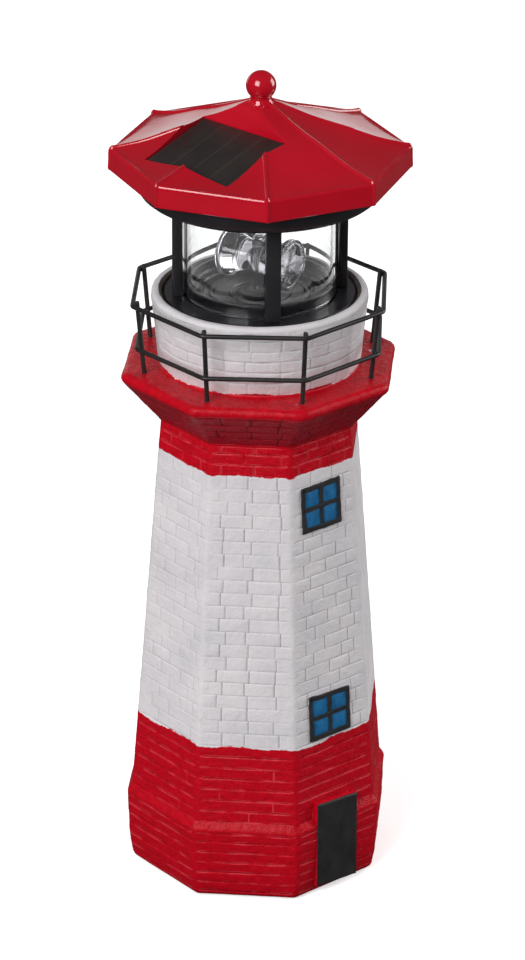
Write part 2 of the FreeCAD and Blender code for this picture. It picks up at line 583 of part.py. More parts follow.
def leaning(name, back, ly, deep):
    """A block whose frame leans with that wall: back behind it, 12 in front, deep below its foot and 14 above."""
    back, ly, deep = q(back), q(ly), q(deep)
    o = doc.addObject("Part::Box", name)
    bind(o, "Length", back + 12)
    bind(o, "Width", ly)
    bind(o, "Height", deep + 14)
    o.Placement = Placement(foot + lean_rot.multVec(V(-back.v, -ly.v / 2, -deep.v)), lean_rot)
    return o


tray_block = slanted("tray_block", d("panel_long") + (G + W) * 2, d("panel_w") + (G + W) * 2, d("panel_thick") + d("tray_floor") + 14, 14)
tray_slope = leaning("tray_slope", W, d("panel_w") + (G + W) * 2, 3)
tray = common("tray", [fused("tray_whole", [tray_block, tray_slope]), outer])
posts_up = []
for k, b in enumerate(ROOF_BOSSES):
    x, y = at(d("roof_boss_ring"), b)
    top = 331.4 if k == 0 else 337.4
    posts_up.append(cylinder("roof_boss_%d" % (k + 1), d("roof_boss_r"), q(top) - d("roof_boss_z"), x, y, d("roof_boss_z")))
whole = fused("roof_whole", [shell, tray] + posts_up)
# a slim rib along each of the eight corners, down over the rim
ribbed = doc.addObject("PartDesign::Body", "roof_ribbed")
ribbed.BaseFeature = whole
RIBS = [("roof_six", 0.7), ("roof_five", 0.6), ("roof_four", 0.6), ("roof_three", 0.6), ("roof_two", 0.6), ("roof_one", 0.7)]
along = [(d(n + "_r"), d(n + "_z") + h) for n, h in RIBS]
over = [(d("rim_high_r") + 0.7, d("rim_high_z")), (d("rim_low_r") + 0.5, d("rim_low_z") + 0.4), (d("rim_low_r") - 0.8, d("rim_low_z") + 0.4), (d("rim_high_r") - 0.8, d("rim_high_z") - 0.6)]
below = [(d(n + "_r"), d(n + "_z") - 0.7) for n in ("roof_two", "roof_three", "roof_four", "roof_five", "roof_six")]
rib = sketch(ribbed, "rib_outline", "XZ_Plane", along + over + below)
turn = math.radians(VALUE["roof_turn"])
rib.AttachmentOffset = Placement(V(-0.7 * math.sin(turn), 0, -0.7 * math.cos(turn)), Rotation(V(0, 1, 0), VALUE["roof_turn"]))
first_rib = pad(ribbed, "first_rib", rib, 1.4)
around(ribbed, "ribs", first_rib, 8)
pocket_block = slanted("pocket_block", d("panel_long") + G * 2, d("panel_w") + G * 2, d("panel_thick") + 20, 20)
wire_hole = cylinder("panel_wire_hole", 1.5, 12, rotation=slope_rot)
wire_hole.Placement = Placement(glass + slope_rot.multVec(V(0, 0, -9)), slope_rot)
bores = []
for k, b in enumerate(ROOF_BOSSES):
    x, y = at(d("roof_boss_ring"), b)
    bores.append(cylinder("roof_boss_bore_%d" % (k + 1), d("screw_r"), 9.4, x, y, d("roof_boss_z") - 0.1))
stem_bore = cylinder("stem_bore", d("stem_r"), 20, 0, 0, d("stem_foot_z") - 6)
pocket_slope = leaning("pocket_slope", 0, d("panel_w") + G * 2, 0)
tools = fused("roof_tools", [pocket_block, pocket_slope, wire_hole, stem_bore] + bores)
keep(cut("roof_cut", ribbed, tools), "roof_shell")

# ---------------------------------------------------------------- finial and solar panel
ball = doc.addObject("Part::Sphere", "ball")
bind(ball, "Radius", d("ball_r"))
place(ball, 0, 0, d("ball_z"))
neck = cylinder("neck", d("neck_r"), d("ball_z") - d("roof_six_z") - 1, 0, 0, d("roof_six_z"))
stem = cylinder("stem", d("stem_r"), d("ball_z") - d("stem_foot_z"), 0, 0, d("stem_foot_z"))
keep(fused("finial", [ball, neck, stem]), "finial_ball")
keep(slanted("panel", d("panel_long"), d("panel_w"), d("panel_thick"), 0), "solar_panel")

# ---------------------------------------------------------------- rotating lens
lens = new_body("beacon_optic")
HALF = [(1.0, 6.05), (4.2, 6.5), (8.4, 7.6), (11.5, 8.6), (13.6, 9.5), (13.6, 11.0), (14.4, 11.0), (14.4, 10.4), (14.9, 10.4), (14.9, 11.0), (15.8, 11.0), (15.8, 9.4), (15.2, 9.0), (15.2, 4.0), (16.2, 2.2), (16.6, 0)]
outline = [(x, r) for x, r in HALF] + [(-x, r) for x, r in reversed(HALF)]
bell = sketch(lens, "bell_outline", "XZ_Plane", outline)
op = lens.newObject("PartDesign::Revolution", "bells")
op.Profile = bell
op.ReferenceAxis = (bell, ["H_Axis"])
op.Angle = 360
lens.Tip = op
HF, HH = d("hub_foot_z") - d("lens_z"), d("hub_head_z") - d("lens_z")
turned(lens, "hub", [(0, HF), (d("hub_r"), HF), (d("hub_r"), HH - 1.4), (d("hub_r") - 0.9, HH - 0.3), (0, HH)])
turned(lens, "hub_bore", [
    (0, HF - 1), (d("spindle_r"), HF - 1), (d("spindle_r"), d("hub_step_z") - d("lens_z")), (d("lamp_room_r"), d("hub_step_z") - d("lens_z")),
    (d("lamp_room_r"), d("lamp_room_z") - d("lens_z")), (0, d("lamp_room_z") - d("lens_z")),
], cut=True)
place(lens, 0, 0, d("lens_z"), Rotation(V(0, 0, 1), VALUE["lens_turn"]))
keep(lens, "beacon_optic")


# ---------------------------------------------------------------- gears
def gear_face(teeth, add, ded, phase, z):
    """Involute teeth with a little backlash. phase is the direction of one tooth's middle, in radians from +X."""
    m = VALUE["gear_module"]
    rp = m * teeth / 2.0
    rb, ra, rf = rp * math.cos(math.radians(20)), rp + add, rp - ded
    inv20 = math.tan(math.radians(20)) - math.radians(20)
    half = math.pi / (2 * teeth) - 0.04 / rp

    def flank(r):
        if r <= rb:
            return half + inv20
        a = math.acos(rb / r)
        return half + inv20 - (math.tan(a) - a)

    low = max(rb, rf)
    radii = ([rf] if rf < rb else []) + [low + (ra - low) * k / 3.0 for k in range(4)]
    pts = []
    for k in range(teeth):
        c = phase + 2 * math.pi * k / teeth
        pts += [V(r * math.cos(c - flank(r)), r * math.sin(c - flank(r)), z) for r in radii]
        pts += [V(r * math.cos(c + flank(r)), r * math.sin(c + flank(r)), z) for r in reversed(radii)]
    return Part.Face(Part.Wire([Part.LineSegment(pts[i], pts[(i + 1) % len(pts)]).toShape() for i in range(len(pts))]))


def gear(teeth, add, ded, phase, z, tall):
    return gear_face(teeth, add, ded, phase, z).extrude(V(0, 0, tall))


N1, N2, N3 = int(VALUE["main_teeth"]), int(VALUE["wheel_teeth"]), int(VALUE["pinion_teeth"])
HI, LO, FACE = VALUE["gear_hi_z"], VALUE["gear_lo_z"], VALUE["gear_face"]
# the idler stands at -Y of the spindle, the motor at +X of the idler
TO_IDLER, TO_MOTOR = -math.pi / 2, 0.0
main = gear(N1, 0.33, 0.60, TO_IDLER, HI, FACE)
shaft_top = VALUE["hub_step_z"]
main = main.fuse(Part.makeCylinder(VALUE["spindle_r"], shaft_top - VALUE["spindle_foot_z"], V(0, 0, VALUE["spindle_foot_z"])))
main = main.cut(Part.makeCylinder(VALUE["spindle_bore"], 40, V(0, 0, VALUE["spindle_foot_z"] - 2)))
keep(feature("spindle_gear", main), "spindle_gear")
idler = gear(N2, 0.33, 0.60, TO_MOTOR, LO, FACE)
idler = idler.fuse([gear(N3, 0.50, 0.52, TO_IDLER + math.pi + math.pi / N3, HI, FACE), Part.makeCylinder(2.2, HI + FACE - 252.2, V(0, 0, 252.2))])
idler = idler.cut(Part.makeCylinder(VALUE["pin_r"] + VALUE["pin_run"], 20, V(0, 0, 248)))
keep(feature("idler_gear", idler, 0, -d("idler_gap"), 0), "idler_gear")
pinion = gear(N3, 0.50, 0.52, TO_MOTOR + math.pi + math.pi / N3, LO - 0.3, FACE + 0.6).cut(Part.makeCylinder(VALUE["rotor_r"], 20, V(0, 0, 245)))
keep(feature("motor_pinion", pinion, d("rotor_gap"), -d("idler_gap"), 0), "motor_pinion")
keep(cylinder("idler_pin", d("pin_r"), 14.5, 0, -d("idler_gap"), d("deck_z")), "idler_shaft")
keep(cylinder("rotor_shaft", d("rotor_r"), 21.6, d("rotor_gap"), -d("idler_gap"), d("can_foot_z") + 0.8), "motor_shaft")

# ---------------------------------------------------------------- motor and gear deck
can = new_body("motor_can")
CF = d("can_foot_z")
turned(can, "can_shell", [(0, CF), (d("can_r"), CF), (d("can_r"), d("deck_z") - 0.6), (d("can_r") - 0.6, d("deck_z")), (3, d("deck_z")), (3, d("deck_z") + 1.2), (d("rotor_r") + 0.05, d("deck_z") + 1.2), (d("rotor_r") + 0.05, CF + 0.5), (0, CF + 0.5)])
holes = sketch(can, "can_screw_holes", "XY_Plane", rings=[(5.5, 0, d("screw_r")), (-5.5, 0, d("screw_r"))], off=d("deck_z"))
pocket(can, "can_screw_bores", holes, 4)
place(can, d("rotor_gap"), -d("idler_gap"), 0)
keep(can, "motor_can")
deck = new_body("gearbox_plate")
R, DY = d("deck_r"), 14.0
turned(deck, "deck_disc", [(0, d("deck_z")), (R, d("deck_z")), (R, d("deck_z") + d("deck_thick")), (0, d("deck_z") + d("deck_thick"))])
side = sketch(deck, "deck_side", "XY_Plane", rect(-32, 32, DY, 33), off=d("deck_z") + d("deck_thick") + 1)
pocket(deck, "deck_flat", side, 4)
MXQ, MYQ = d("rotor_gap"), -d("idler_gap")
holes = sketch(deck, "deck_holes", "XY_Plane", rings=[(x, y, d("screw_r") + 0.1) for x, y in STANDS] + [(0, 0, 1.5), (0, MYQ, d("pin_r")), (MXQ, MYQ, 3.05), (MXQ + 5.5, MYQ, d("screw_r")), (MXQ - 5.5, MYQ, d("screw_r"))], off=d("deck_z") + d("deck_thick") + 1)
pocket(deck, "deck_bores", holes, 4)
keep(deck, "gearbox_plate")
keep(group("gearbox_screw_set", [screw("gearbox_screw_%d" % (k + 1), x, y, d("deck_z") - 1.3, 1.3, d("deck_z") + 9) for k, (x, y) in enumerate(STANDS)]), "gearbox_screws")
keep(group("motor_screw_set", [screw("motor_screw_%d" % (k + 1), MXQ + s * 5.5, MYQ, d("deck_z") + d("deck_thick"), 1.3, d("deck_z") - 3.5, up=False) for k, s in enumerate((1, -1))]), "motor_screws")

# ---------------------------------------------------------------- lamp on its fixed stem
stem_body = new_body("led_stem")
turned(stem_body, "stem_tube", rect(0.95, 1.5, d("deck_z"), 278.6))
keep(stem_body, "led_stem")
lamp = doc.addObject("Part::Sphere", "lamp_dome")
bind(lamp, "Radius", 1.5)
place(lamp, 0, 0, 282.0)
keep(fused("lamp", [lamp, cylinder("lamp_body", 1.5, 3.4, 0, 0, 278.6), cylinder("lamp_flange", 1.75, 0.8, 0, 0, 278.6)]), "led_lamp")


# ---------------------------------------------------------------- leads
def lead(label, points, radius, bends):
    """A round lead: straight runs joined by tangent arcs of the given radii."""
    edges, start = [], points[0]
    for k in range(1, len(points) - 1):
        a, b, c = points[k - 1], points[k], points[k + 1]
        u, w = (a - b).normalize(), (c - b).normalize()
        angle = math.pi - u.getAngle(w)
        cutback = bends[k - 1] * math.tan(angle / 2)
        p, s = b + u * cutback, b + w * cutback
        bisector = (u + w).normalize()
        centre = b + bisector * (bends[k - 1] / math.cos(angle / 2))
        middle = centre - bisector * bends[k - 1]
        edges.append(Part.LineSegment(start, p).toShape())
        edges.append(Part.Arc(p, middle, s).toShape())
        start = s
    edges.append(Part.LineSegment(start, points[-1]).toShape())
    path = Part.Wire(edges)
    ring = Part.Wire([Part.Circle(points[0], (points[1] - points[0]).normalize(), radius).toShape()])
    solid = path.makePipeShell([ring], True, True)
    print(label, "radii", bends, "volume", round(solid.Volume, 2), "section times length", round(math.pi * radius ** 2 * path.Length, 2))
    return feature(label, solid)


normal = slope_rot.multVec(V(0, 0, 1))
lb = math.radians(LEAD_B.v)
ax, ay = math.sin(lb), -math.cos(lb)
pr = VALUE["pillar_mid_r"]
keep(lead("solar_lead", [
    glass - normal * VALUE["panel_thick"], glass - normal * 12.0, V(ax * pr, ay * pr, 324.0), V(ax * pr, ay * pr, 262.9), V(ax * 24.9, ay * 24.9, 262.9), V(ax * 24.9, ay * 24.9, 237.6),
], VALUE["lead_r"], [6.0, 6.0, 3.0, 5.0]), "solar_lead")
keep(lead("led_lead", [V(0, 0, 278.6), V(0, 0, 243.0), V(0, 10, 243.0), V(0, 10, 237.6)], 0.7, [4.0, 3.5]), "led_lead")
keep(lead("motor_lead", [V(12, -12, 236.0), V(12, -12, 233.2), V(9, 9, 233.2), V(9, 9, 236.0)], 0.6, [2.0, 2.0]), "motor_lead")

# ---------------------------------------------------------------- circuit board
board = block("board", 30, 20, 1.6, -15, 6, 236)
keep(board, "circuit_board")
keep(group("board_part_set", [
    block("chip", 5, 4, 1.5, -10.5, 9, 237.6), cylinder("coil_part", 2.4, 4.5, -8, 20, 237.6), cylinder("can_part", 2.5, 6, 1.5, 20, 237.6), block("driver", 3, 3, 1.2, 6, 13, 237.6),
]), "board_parts")

# ---------------------------------------------------------------- housing under the lantern floor
cup = new_body("drive_cup")
CZ, CT = d("cup_floor_z"), d("cup_floor")
turned(cup, "cup_wall", [(0, CZ), (d("cup_r") - 1.2, CZ), (d("cup_r"), CZ + 1.2), (d("cup_r"), d("plate_under_z")), (d("cup_in_r"), d("plate_under_z")), (d("cup_in_r"), CZ + CT), (0, CZ + CT)])


def polar(pts, b):
    """Points (out, across) at bearing b."""
    return [(q(r) * sind(b) + q(s) * cosd(b), -(q(r) * cosd(b)) + q(s) * sind(b)) for r, s in pts]


ear = sketch(cup, "lug_outline", "XY_Plane", polar([(32, -2.5), (36.9, -2.5), (38.2, -1.2), (38.2, 1.2), (36.9, 2.5), (32, 2.5)], LUGS[0]), off=d("lug_foot_z"))
first_lug = pad(cup, "first_lug", ear, d("lug_head_z") - d("lug_foot_z"))
around(cup, "lugs", first_lug, 3)
holes = sketch(cup, "cup_lug_holes", "XY_Plane", rings=[at(d("lug_ring"), b) + (d("screw_r") + 0.1,) for b in LUGS], off=d("lug_head_z"))
pocket(cup, "cup_lug_bores", holes, 6)
# clear the plate's screw bosses where they stand against the wall
holes = sketch(cup, "cup_boss_holes", "XY_Plane", rings=[at(d("lug_ring"), b) + (d("lug_r") + 0.1,) for b in LUGS], off=d("plate_under_z"))
pocket(cup, "cup_boss_clear", holes, d("plate_under_z") - d("lug_head_z"))
notch = sketch(cup, "lead_notch_outline", "XY_Plane", polar([(30, -1.6), (34, -1.6), (34, 1.6), (30, 1.6)], LEAD_B), off=d("plate_under_z"))
pocket(cup, "lead_notch", notch, 4)
BX, BY, BW = d("bay_x"), d("bay_y"), d("bay_wall") + 0.5
bay = sketch(cup, "bay_outside", "XY_Plane", rect(-(BX + BW), BX + BW, -(BY + BW), BY + BW), off=CZ + 1)
pad(cup, "bay_block", bay, d("bay_roof_z") - CZ - 1)
bay = sketch(cup, "bay_inside", "XY_Plane", rect(-BX, BX, -BY, BY), off=CZ - 1)
pocket(cup, "bay_hollow", bay, d("bay_roof_z") - CZ - 0.5, back=True)
bay = sketch(cup, "bay_mouth", "XY_Plane", rect(-(BX + 1.2), BX + 1.2, -(BY + 1.2), BY + 1.2), off=CZ - 1)
pocket(cup, "bay_door_seat", bay, CT + 1, back=True)
for s in (-1, 1):
    y0, y1 = (14, 20) if s > 0 else (-20, -14)
    slot = sketch(cup, "knuckle_slot_%d" % (s + 1), "XY_Plane", rect(d("hinge_x") - 1.6, d("hinge_x") + 1.4, y0, y1), off=CZ - 1)
    pocket(cup, "knuckle_space_%d" % (s + 1), slot, CT + 1, back=True)
stilts = sketch(cup, "board_stilts", "XY_Plane", rings=[(-7, 18, 1.8), (7, 18, 1.8), (0, 24, 1.8)], off=d("bay_roof_z") - 0.5)
pad(cup, "board_stilt_pads", stilts, 236 - d("bay_roof_z") + 0.5)
slot = sketch(cup, "switch_slot", "XY_Plane", rect(d("switch_x") - 1.3, d("switch_x") + 1.3, -2.9, 2.9), off=CZ - 1)
pocket(cup, "switch_window", slot, CT + 2, back=True)
pin_tools = [cylinder("pin_tool_%d" % k, d("hinge_pin_r"), 10, d("hinge_x"), y, d("hinge_z"), Rotation(V(1, 0, 0), -90)) for k, y in ((1, 12), (2, -22))]
keep(cut("cup_cut", cup, group("pin_tools", pin_tools)), "drive_cup")
keep(group("cover_pin_set", [cylinder("cover_pin_%d" % k, d("hinge_pin_r"), 10, d("hinge_x"), y, d("hinge_z"), Rotation(V(1, 0, 0), -90)) for k, y in ((1, 12), (2, -22))]), "cover_pin")
keep(group("cup_screw_set", [screw("cup_screw_%d" % (k + 1), *at(d("lug_ring"), b), d("lug_foot_z") - 1.3, 1.3, d("lug_foot_z") + 10) for k, b in enumerate(LUGS)]), "cup_screws")

# ---------------------------------------------------------------- battery and its hinged door
cell = cylinder("cell_can", d("cell_r"), d("cell_long") - 0.5, 0, -(d("cell_long") / 2), d("cell_z"), Rotation(V(1, 0, 0), -90))
tip = cylinder("cell_tip", 2.7, 2, 0, d("cell_long") / 2 - 1.5, d("cell_z"), Rotation(V(1, 0, 0), -90))
keep(fused("cell", [cell, tip]), "battery_cell")
contact_plus = fused("contact_plus", [block("plus_plate", 9, 0.5, 10, -4.5, 25.8, 215.4), cylinder("plus_dimple", 1.5, 0.4, 0, 25.5, d("cell_z"), Rotation(V(1, 0, 0), -90))])
contact_minus = fused("contact_minus", [block("minus_plate", 9, 0.5, 10, -4.5, -26.3, 215.4), cylinder("minus_spring", 3.0, 0.9, 0, -25.9, d("cell_z"), Rotation(V(1, 0, 0), -90))])
keep(group("contact_set", [contact_plus, contact_minus]), "battery_contacts")
cover = new_body("cover_body")
leaf = sketch(cover, "cover_outline", "XY_Plane", rect(-(BX + 0.5), BX + 0.9, -(BY + 0.9), BY + 0.9), off=CZ + 0.2)
pad(cover, "cover_leaf", leaf, 1.6)
arms, knuckle_parts = [], []
for k, y in ((1, 14.3), (2, -19.7)):
    arms.append(block("arm_%d" % k, 2.6, 5.4, 1.6, d("hinge_x"), y, CZ + 0.2))
    knuckle_parts.append(cylinder("knuckle_%d" % k, d("knuckle_r"), 5.4, d("hinge_x"), y, d("hinge_z"), Rotation(V(1, 0, 0), -90)))
grips = [block("grip_%d" % k, 1.0, 14, 0.5, 3.6 + 1.8 * k, -7, CZ - 0.3) for k in range(3)]
cover_whole = fused("cover_whole", [cover] + arms + knuckle_parts + grips)
pin_bores = group("pin_bores", [cylinder("pin_bore_%d" % k, d("hinge_pin_r") + 0.06, 8, d("hinge_x"), y, d("hinge_z"), Rotation(V(1, 0, 0), -90)) for k, y in ((1, 13), (2, -21))])
keep(cut("cover_cut", cover_whole, pin_bores), "battery_cover")

# ---------------------------------------------------------------- slide switch
SX = d("switch_x")
case = cut("switch_case", block("switch_block", 5, 9, 4, SX - 2.5, -4.5, CZ + CT), block("switch_room", 3.2, 7.4, 1.4, SX - 1.6, -3.7, CZ + CT))
keep(case, "switch_body")
travel = VALUE["switch_travel"] / 2
keep(fused("slider", [block("slider_foot", 3.0, 3.4, 1.2, SX - 1.5, -1.7 - travel, CZ + CT + 0.1), block("slider_knob", 2.0, 2.0, 4.0, SX - 1.0, -1.0 - travel, CZ - 1.6)]), "switch_slider")

# ---------------------------------------------------------------- check and write
doc.recompute()
bad = [o.Name for o in doc.Objects if any(s in ("Invalid", "Error") for s in o.State)]
if bad:
    raise SystemExit("failed objects: %s" % bad)
os.makedirs("parts", exist_ok=True)
seen = set()
for label, obj in NODES:
    shape = obj.Shape
    if shape.isNull() or not shape.isValid() or not shape.Solids:
        raise SystemExit("bad shape: %s" % label)
    if label in seen:
        raise SystemExit("label used twice: %s" % label)
    seen.add(label)
    shape.exportStep("parts/%s.step" % label)
    box = shape.BoundBox
    print("%-18s solids %2d volume %10.1f  x %7.2f %7.2f  y %7.2f %7.2f  z %7.2f %7.2f" % (label, len(shape.Solids), shape.Volume, box.XMin, box.XMax, box.YMin, box.YMax, box.ZMin, box.ZMax))
print(len(NODES), "nodes")
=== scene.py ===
import math

import bmesh
import bpy
import numpy as np
from mathutils import Matrix, Vector, noise


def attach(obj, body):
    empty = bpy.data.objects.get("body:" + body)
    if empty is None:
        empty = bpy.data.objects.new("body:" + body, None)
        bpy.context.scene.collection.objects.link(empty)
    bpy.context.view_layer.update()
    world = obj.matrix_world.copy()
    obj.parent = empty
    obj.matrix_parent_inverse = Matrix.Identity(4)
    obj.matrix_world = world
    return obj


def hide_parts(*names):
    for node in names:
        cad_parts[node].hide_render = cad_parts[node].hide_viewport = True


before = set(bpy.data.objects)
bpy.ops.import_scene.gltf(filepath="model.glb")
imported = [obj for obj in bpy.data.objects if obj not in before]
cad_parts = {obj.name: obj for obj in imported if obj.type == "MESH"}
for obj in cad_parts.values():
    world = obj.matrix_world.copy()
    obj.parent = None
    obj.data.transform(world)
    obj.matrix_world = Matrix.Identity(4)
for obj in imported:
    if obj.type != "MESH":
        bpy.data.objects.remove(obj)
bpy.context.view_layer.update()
MM = 0.001
T22 = math.tan(math.radians(22.5))
S22 = math.sin(math.radians(22.5))
C22 = math.cos(math.radians(22.5))


# ---------------------------------------------------------------- small helpers
def nz(x, y, z=0.0):
    """Smooth noise from -1 to 1."""
    return noise.noise(Vector((x, y, z)))


def rnd(*key):
    """A repeatable number from 0 to 1 for a key."""
    return 0.5 + 0.5 * noise.cell(Vector((key[0] * 1.37 + 0.5, (key[1] if len(key) > 1 else 0) * 2.11 + 0.5, (key[2] if len(key) > 2 else 0) * 3.17 + 0.5)))


def smooth(a, b, x):
    t = min(1.0, max(0.0, (x - a) / (b - a)))
    return t * t * (3 - 2 * t)


def piece(name, verts, faces, mats, body, node=(), flat=None, mat_index=None):
    """A mesh piece from points in millimetres."""
    me = bpy.data.meshes.new(name)
    me.from_pydata([(x * MM, y * MM, z * MM) for x, y, z in verts], [], faces)
    for m in mats:
        me.materials.append(m)
    if mat_index is not None:
        me.polygons.foreach_set("material_index", mat_index)
    me.polygons.foreach_set("use_smooth", [True] * len(me.polygons))
    me.validate()
    ob = bpy.data.objects.new(name, me)
    bpy.context.scene.collection.objects.link(ob)
    bm = bmesh.new()
    bm.from_mesh(me)
    bmesh.ops.recalc_face_normals(bm, faces=bm.faces)
    bm.to_mesh(me)
    bm.free()
    if flat is not None:
        sharp(ob, flat)
    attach(ob, body)
    if node:
        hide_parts(*([node] if isinstance(node, str) else node))
    return ob


def sharp(ob, degrees):
    """Smooth shading, with edges above an angle kept sharp."""
    bm = bmesh.new()
    bm.from_mesh(ob.data)
    limit = math.radians(degrees)
    for e in bm.edges:
        e.smooth = not (len(e.link_faces) == 2 and e.calc_face_angle(0) > limit)
    for f in bm.faces:
        f.smooth = True
    bm.to_mesh(ob.data)
    bm.free()


def turned(profile, seg=96, closed=True, matrix=None):
    """A profile of (radius, height) turned about Z. Points on the axis close it."""
    verts, faces, rings = [], [], []
    for r, z in profile:
        if r < 1e-6:
            rings.append([len(verts)])
            verts.append((0.0, 0.0, z))
        else:
            rings.append(list(range(len(verts), len(verts) + seg)))
            verts += [(r * math.cos(2 * math.pi * k / seg), r * math.sin(2 * math.pi * k / seg), z) for k in range(seg)]
    pairs = list(zip(rings, rings[1:])) + ([(rings[-1], rings[0])] if closed and len(rings[0]) > 1 and len(rings[-1]) > 1 else [])
    for a, b in pairs:
        for k in range(seg):
            j = (k + 1) % seg
            if len(a) == 1 and len(b) == 1:
                continue
            if len(a) == 1:
                faces.append((a[0], b[j], b[k]))
            elif len(b) == 1:
                faces.append((a[k], a[j], b[0]))
            else:
                faces.append((a[k], a[j], b[j], b[k]))
    if matrix is not None:
        verts = [tuple(matrix @ Vector(v)) for v in verts]
    return verts, faces


def merged(*parts):
    verts, faces = [], []
    for v, f in parts:
        n = len(verts)
        verts += v
        faces += [tuple(i + n for i in face) for face in f]
    return verts, faces


def tube_mesh(path, radius, seg=14, closed=False, dome=True):
    """A round wire along a path of points."""
    pts = [Vector(p) for p in path]
    n = len(pts)
    verts, faces, rings = [], [], []
    up = None
    radii = [radius] * n
    if dome and not closed:
        a, b = (pts[0] - pts[1]).normalized(), (pts[-1] - pts[-2]).normalized()
        steps = [0.0, 0.35, 0.65, 0.86, 0.97]
        pts = [pts[0] + a * radius * 0.55 * s for s in reversed(steps[1:])] + pts + [pts[-1] + b * radius * 0.55 * s for s in steps[1:]]
        fall = [radius * math.sqrt(1 - s * s) for s in steps[1:]]
        radii = list(reversed(fall)) + radii + fall
        n = len(pts)
    for i, p in enumerate(pts):
        if closed:
            d = (pts[(i + 1) % n] - pts[i - 1]).normalized()
        else:
            d = (pts[min(i + 1, n - 1)] - pts[max(i - 1, 0)]).normalized()
        if up is None:
            up = Vector((0, 0, 1)) if abs(d.z) < 0.9 else Vector((1, 0, 0))
        side = d.cross(up).normalized()
        up = side.cross(d).normalized()
        rings.append(range(len(verts), len(verts) + seg))
        verts += [tuple(p + (side * math.cos(2 * math.pi * k / seg) + up * math.sin(2 * math.pi * k / seg)) * radii[i]) for k in range(seg)]
    for i in range(n if closed else n - 1):
        a, b = rings[i], rings[(i + 1) % n]
        faces += [(a[k], a[(k + 1) % seg], b[(k + 1) % seg], b[k]) for k in range(seg)]
    if not closed:
        faces += [tuple(reversed(rings[0])), tuple(rings[-1])]
    return verts, faces


def blob(centre, rx, ry, rz, seg=12):
    c = Vector(centre)
    prof = [(math.sin(math.pi * k / 8), -math.cos(math.pi * k / 8)) for k in range(9)]
    prof[0], prof[-1] = (0, -1), (0, 1)
    m = Matrix.Translation(c) @ Matrix.Diagonal((rx, ry, rz, 1))
    return turned(prof, seg, closed=False, matrix=m)


def soft_box(lx, ly, lz, r, matrix, steps=3):
    """A box centred on its own axes with rounded edges."""
    bm = bmesh.new()
    bmesh.ops.create_cube(bm, size=1.0, matrix=Matrix.Diagonal((lx, ly, lz, 1)))
    bmesh.ops.bevel(bm, geom=list(bm.edges), offset=r, segments=steps, profile=0.5, affect="EDGES")
    verts = [tuple(matrix @ v.co) for v in bm.verts]
    bm.verts.index_update()
    faces = [tuple(v.index for v in f.verts) for f in bm.faces]
    bm.free()
    return verts, faces


# ---------------------------------------------------------------- materials
class Net:
    """A short way to write a material's nodes. Positions are in millimetres in the object's own space."""

    def __init__(self, name):
        self.m = bpy.data.materials.new(name)
        self.m.use_nodes = True
        self.t = self.m.node_tree
        self.b = [n for n in self.t.nodes if n.type == "BSDF_PRINCIPLED"][0]
        self.co = self.n("ShaderNodeTexCoord").outputs["Object"]
        self.mm = self.vec("SCALE", self.co, scale=1000.0)
        sep = self.n("ShaderNodeSeparateXYZ")
        self.link(self.mm, sep.inputs[0])
        self.x, self.y, self.z = sep.outputs

    def n(self, kind):
        return self.t.nodes.new(kind)

    def link(self, a, b):
        self.t.links.new(a, b)

    def put(self, v, socket):
        if hasattr(v, "is_linked") or hasattr(v, "node"):
            self.link(v, socket)
        else:
            socket.default_value = v

    def vec(self, op, a, b=None, scale=None):
        n = self.n("ShaderNodeVectorMath")
        n.operation = op
        self.put(a, n.inputs[0])
        if b is not None:
            self.put(b, n.inputs[1])
        if scale is not None:
            n.inputs["Scale"].default_value = scale
        return n.outputs[0]

    def math(self, op, a, b=0.0, clamp=False):
        n = self.n("ShaderNodeMath")
        n.operation = op
        n.use_clamp = clamp
        self.put(a, n.inputs[0])
        self.put(b, n.inputs[1])
        return n.outputs[0]

    def noise(self, scale, detail=2.0, rough=0.5, at=None, stretch=None):
        """Noise from 0 to 1; scale is in bumps per millimetre."""
        src = self.mm if at is None else at
        if stretch is not None:
            src = self.vec("MULTIPLY", src, stretch)
        n = self.n("ShaderNodeTexNoise")
        n.inputs["Scale"].default_value = scale
        n.inputs["Detail"].default_value = detail
        n.inputs["Roughness"].default_value = rough
        self.link(src, n.inputs["Vector"])
        return n.outputs["Fac"]

    def span(self, v, a, b, lo=0.0, hi=1.0):
        n = self.n("ShaderNodeMapRange")
        self.put(v, n.inputs["Value"])
        n.inputs["From Min"].default_value, n.inputs["From Max"].default_value = a, b
        n.inputs["To Min"].default_value, n.inputs["To Max"].default_value = lo, hi
        return n.outputs["Result"]

    def mix(self, f, a, b):
        n = self.n("ShaderNodeMix")
        n.data_type = "RGBA"
        n.clamp_factor = True
        self.put(f, n.inputs["Factor"])
        self.put(a if not isinstance(a, tuple) else (*a, 1.0), n.inputs[6])
        self.put(b if not isinstance(b, tuple) else (*b, 1.0), n.inputs[7])
        return n.outputs[2]

    def attr(self, name):
        n = self.n("ShaderNodeAttribute")
        n.attribute_name = name
        return n.outputs["Fac"]

    def bump(self, height, strength, distance, normal=None):
        n = self.n("ShaderNodeBump")
        n.inputs["Strength"].default_value = strength
        n.inputs["Distance"].default_value = distance * MM
        self.put(height, n.inputs["Height"])
        if normal is not None:
            self.link(normal, n.inputs["Normal"])
        return n.outputs["Normal"]

    def done(self, color=None, rough=None, normal=None, **fixed):
        if color is not None:
            self.put(color if not isinstance(color, tuple) else (*color, 1.0), self.b.inputs["Base Color"])
        if rough is not None:
            self.put(rough, self.b.inputs["Roughness"])
        if normal is not None:
            self.link(normal, self.b.inputs["Normal"])
        for k, v in fixed.items():
            self.b.inputs[k.replace("_", " ")].default_value = v
        return self.m


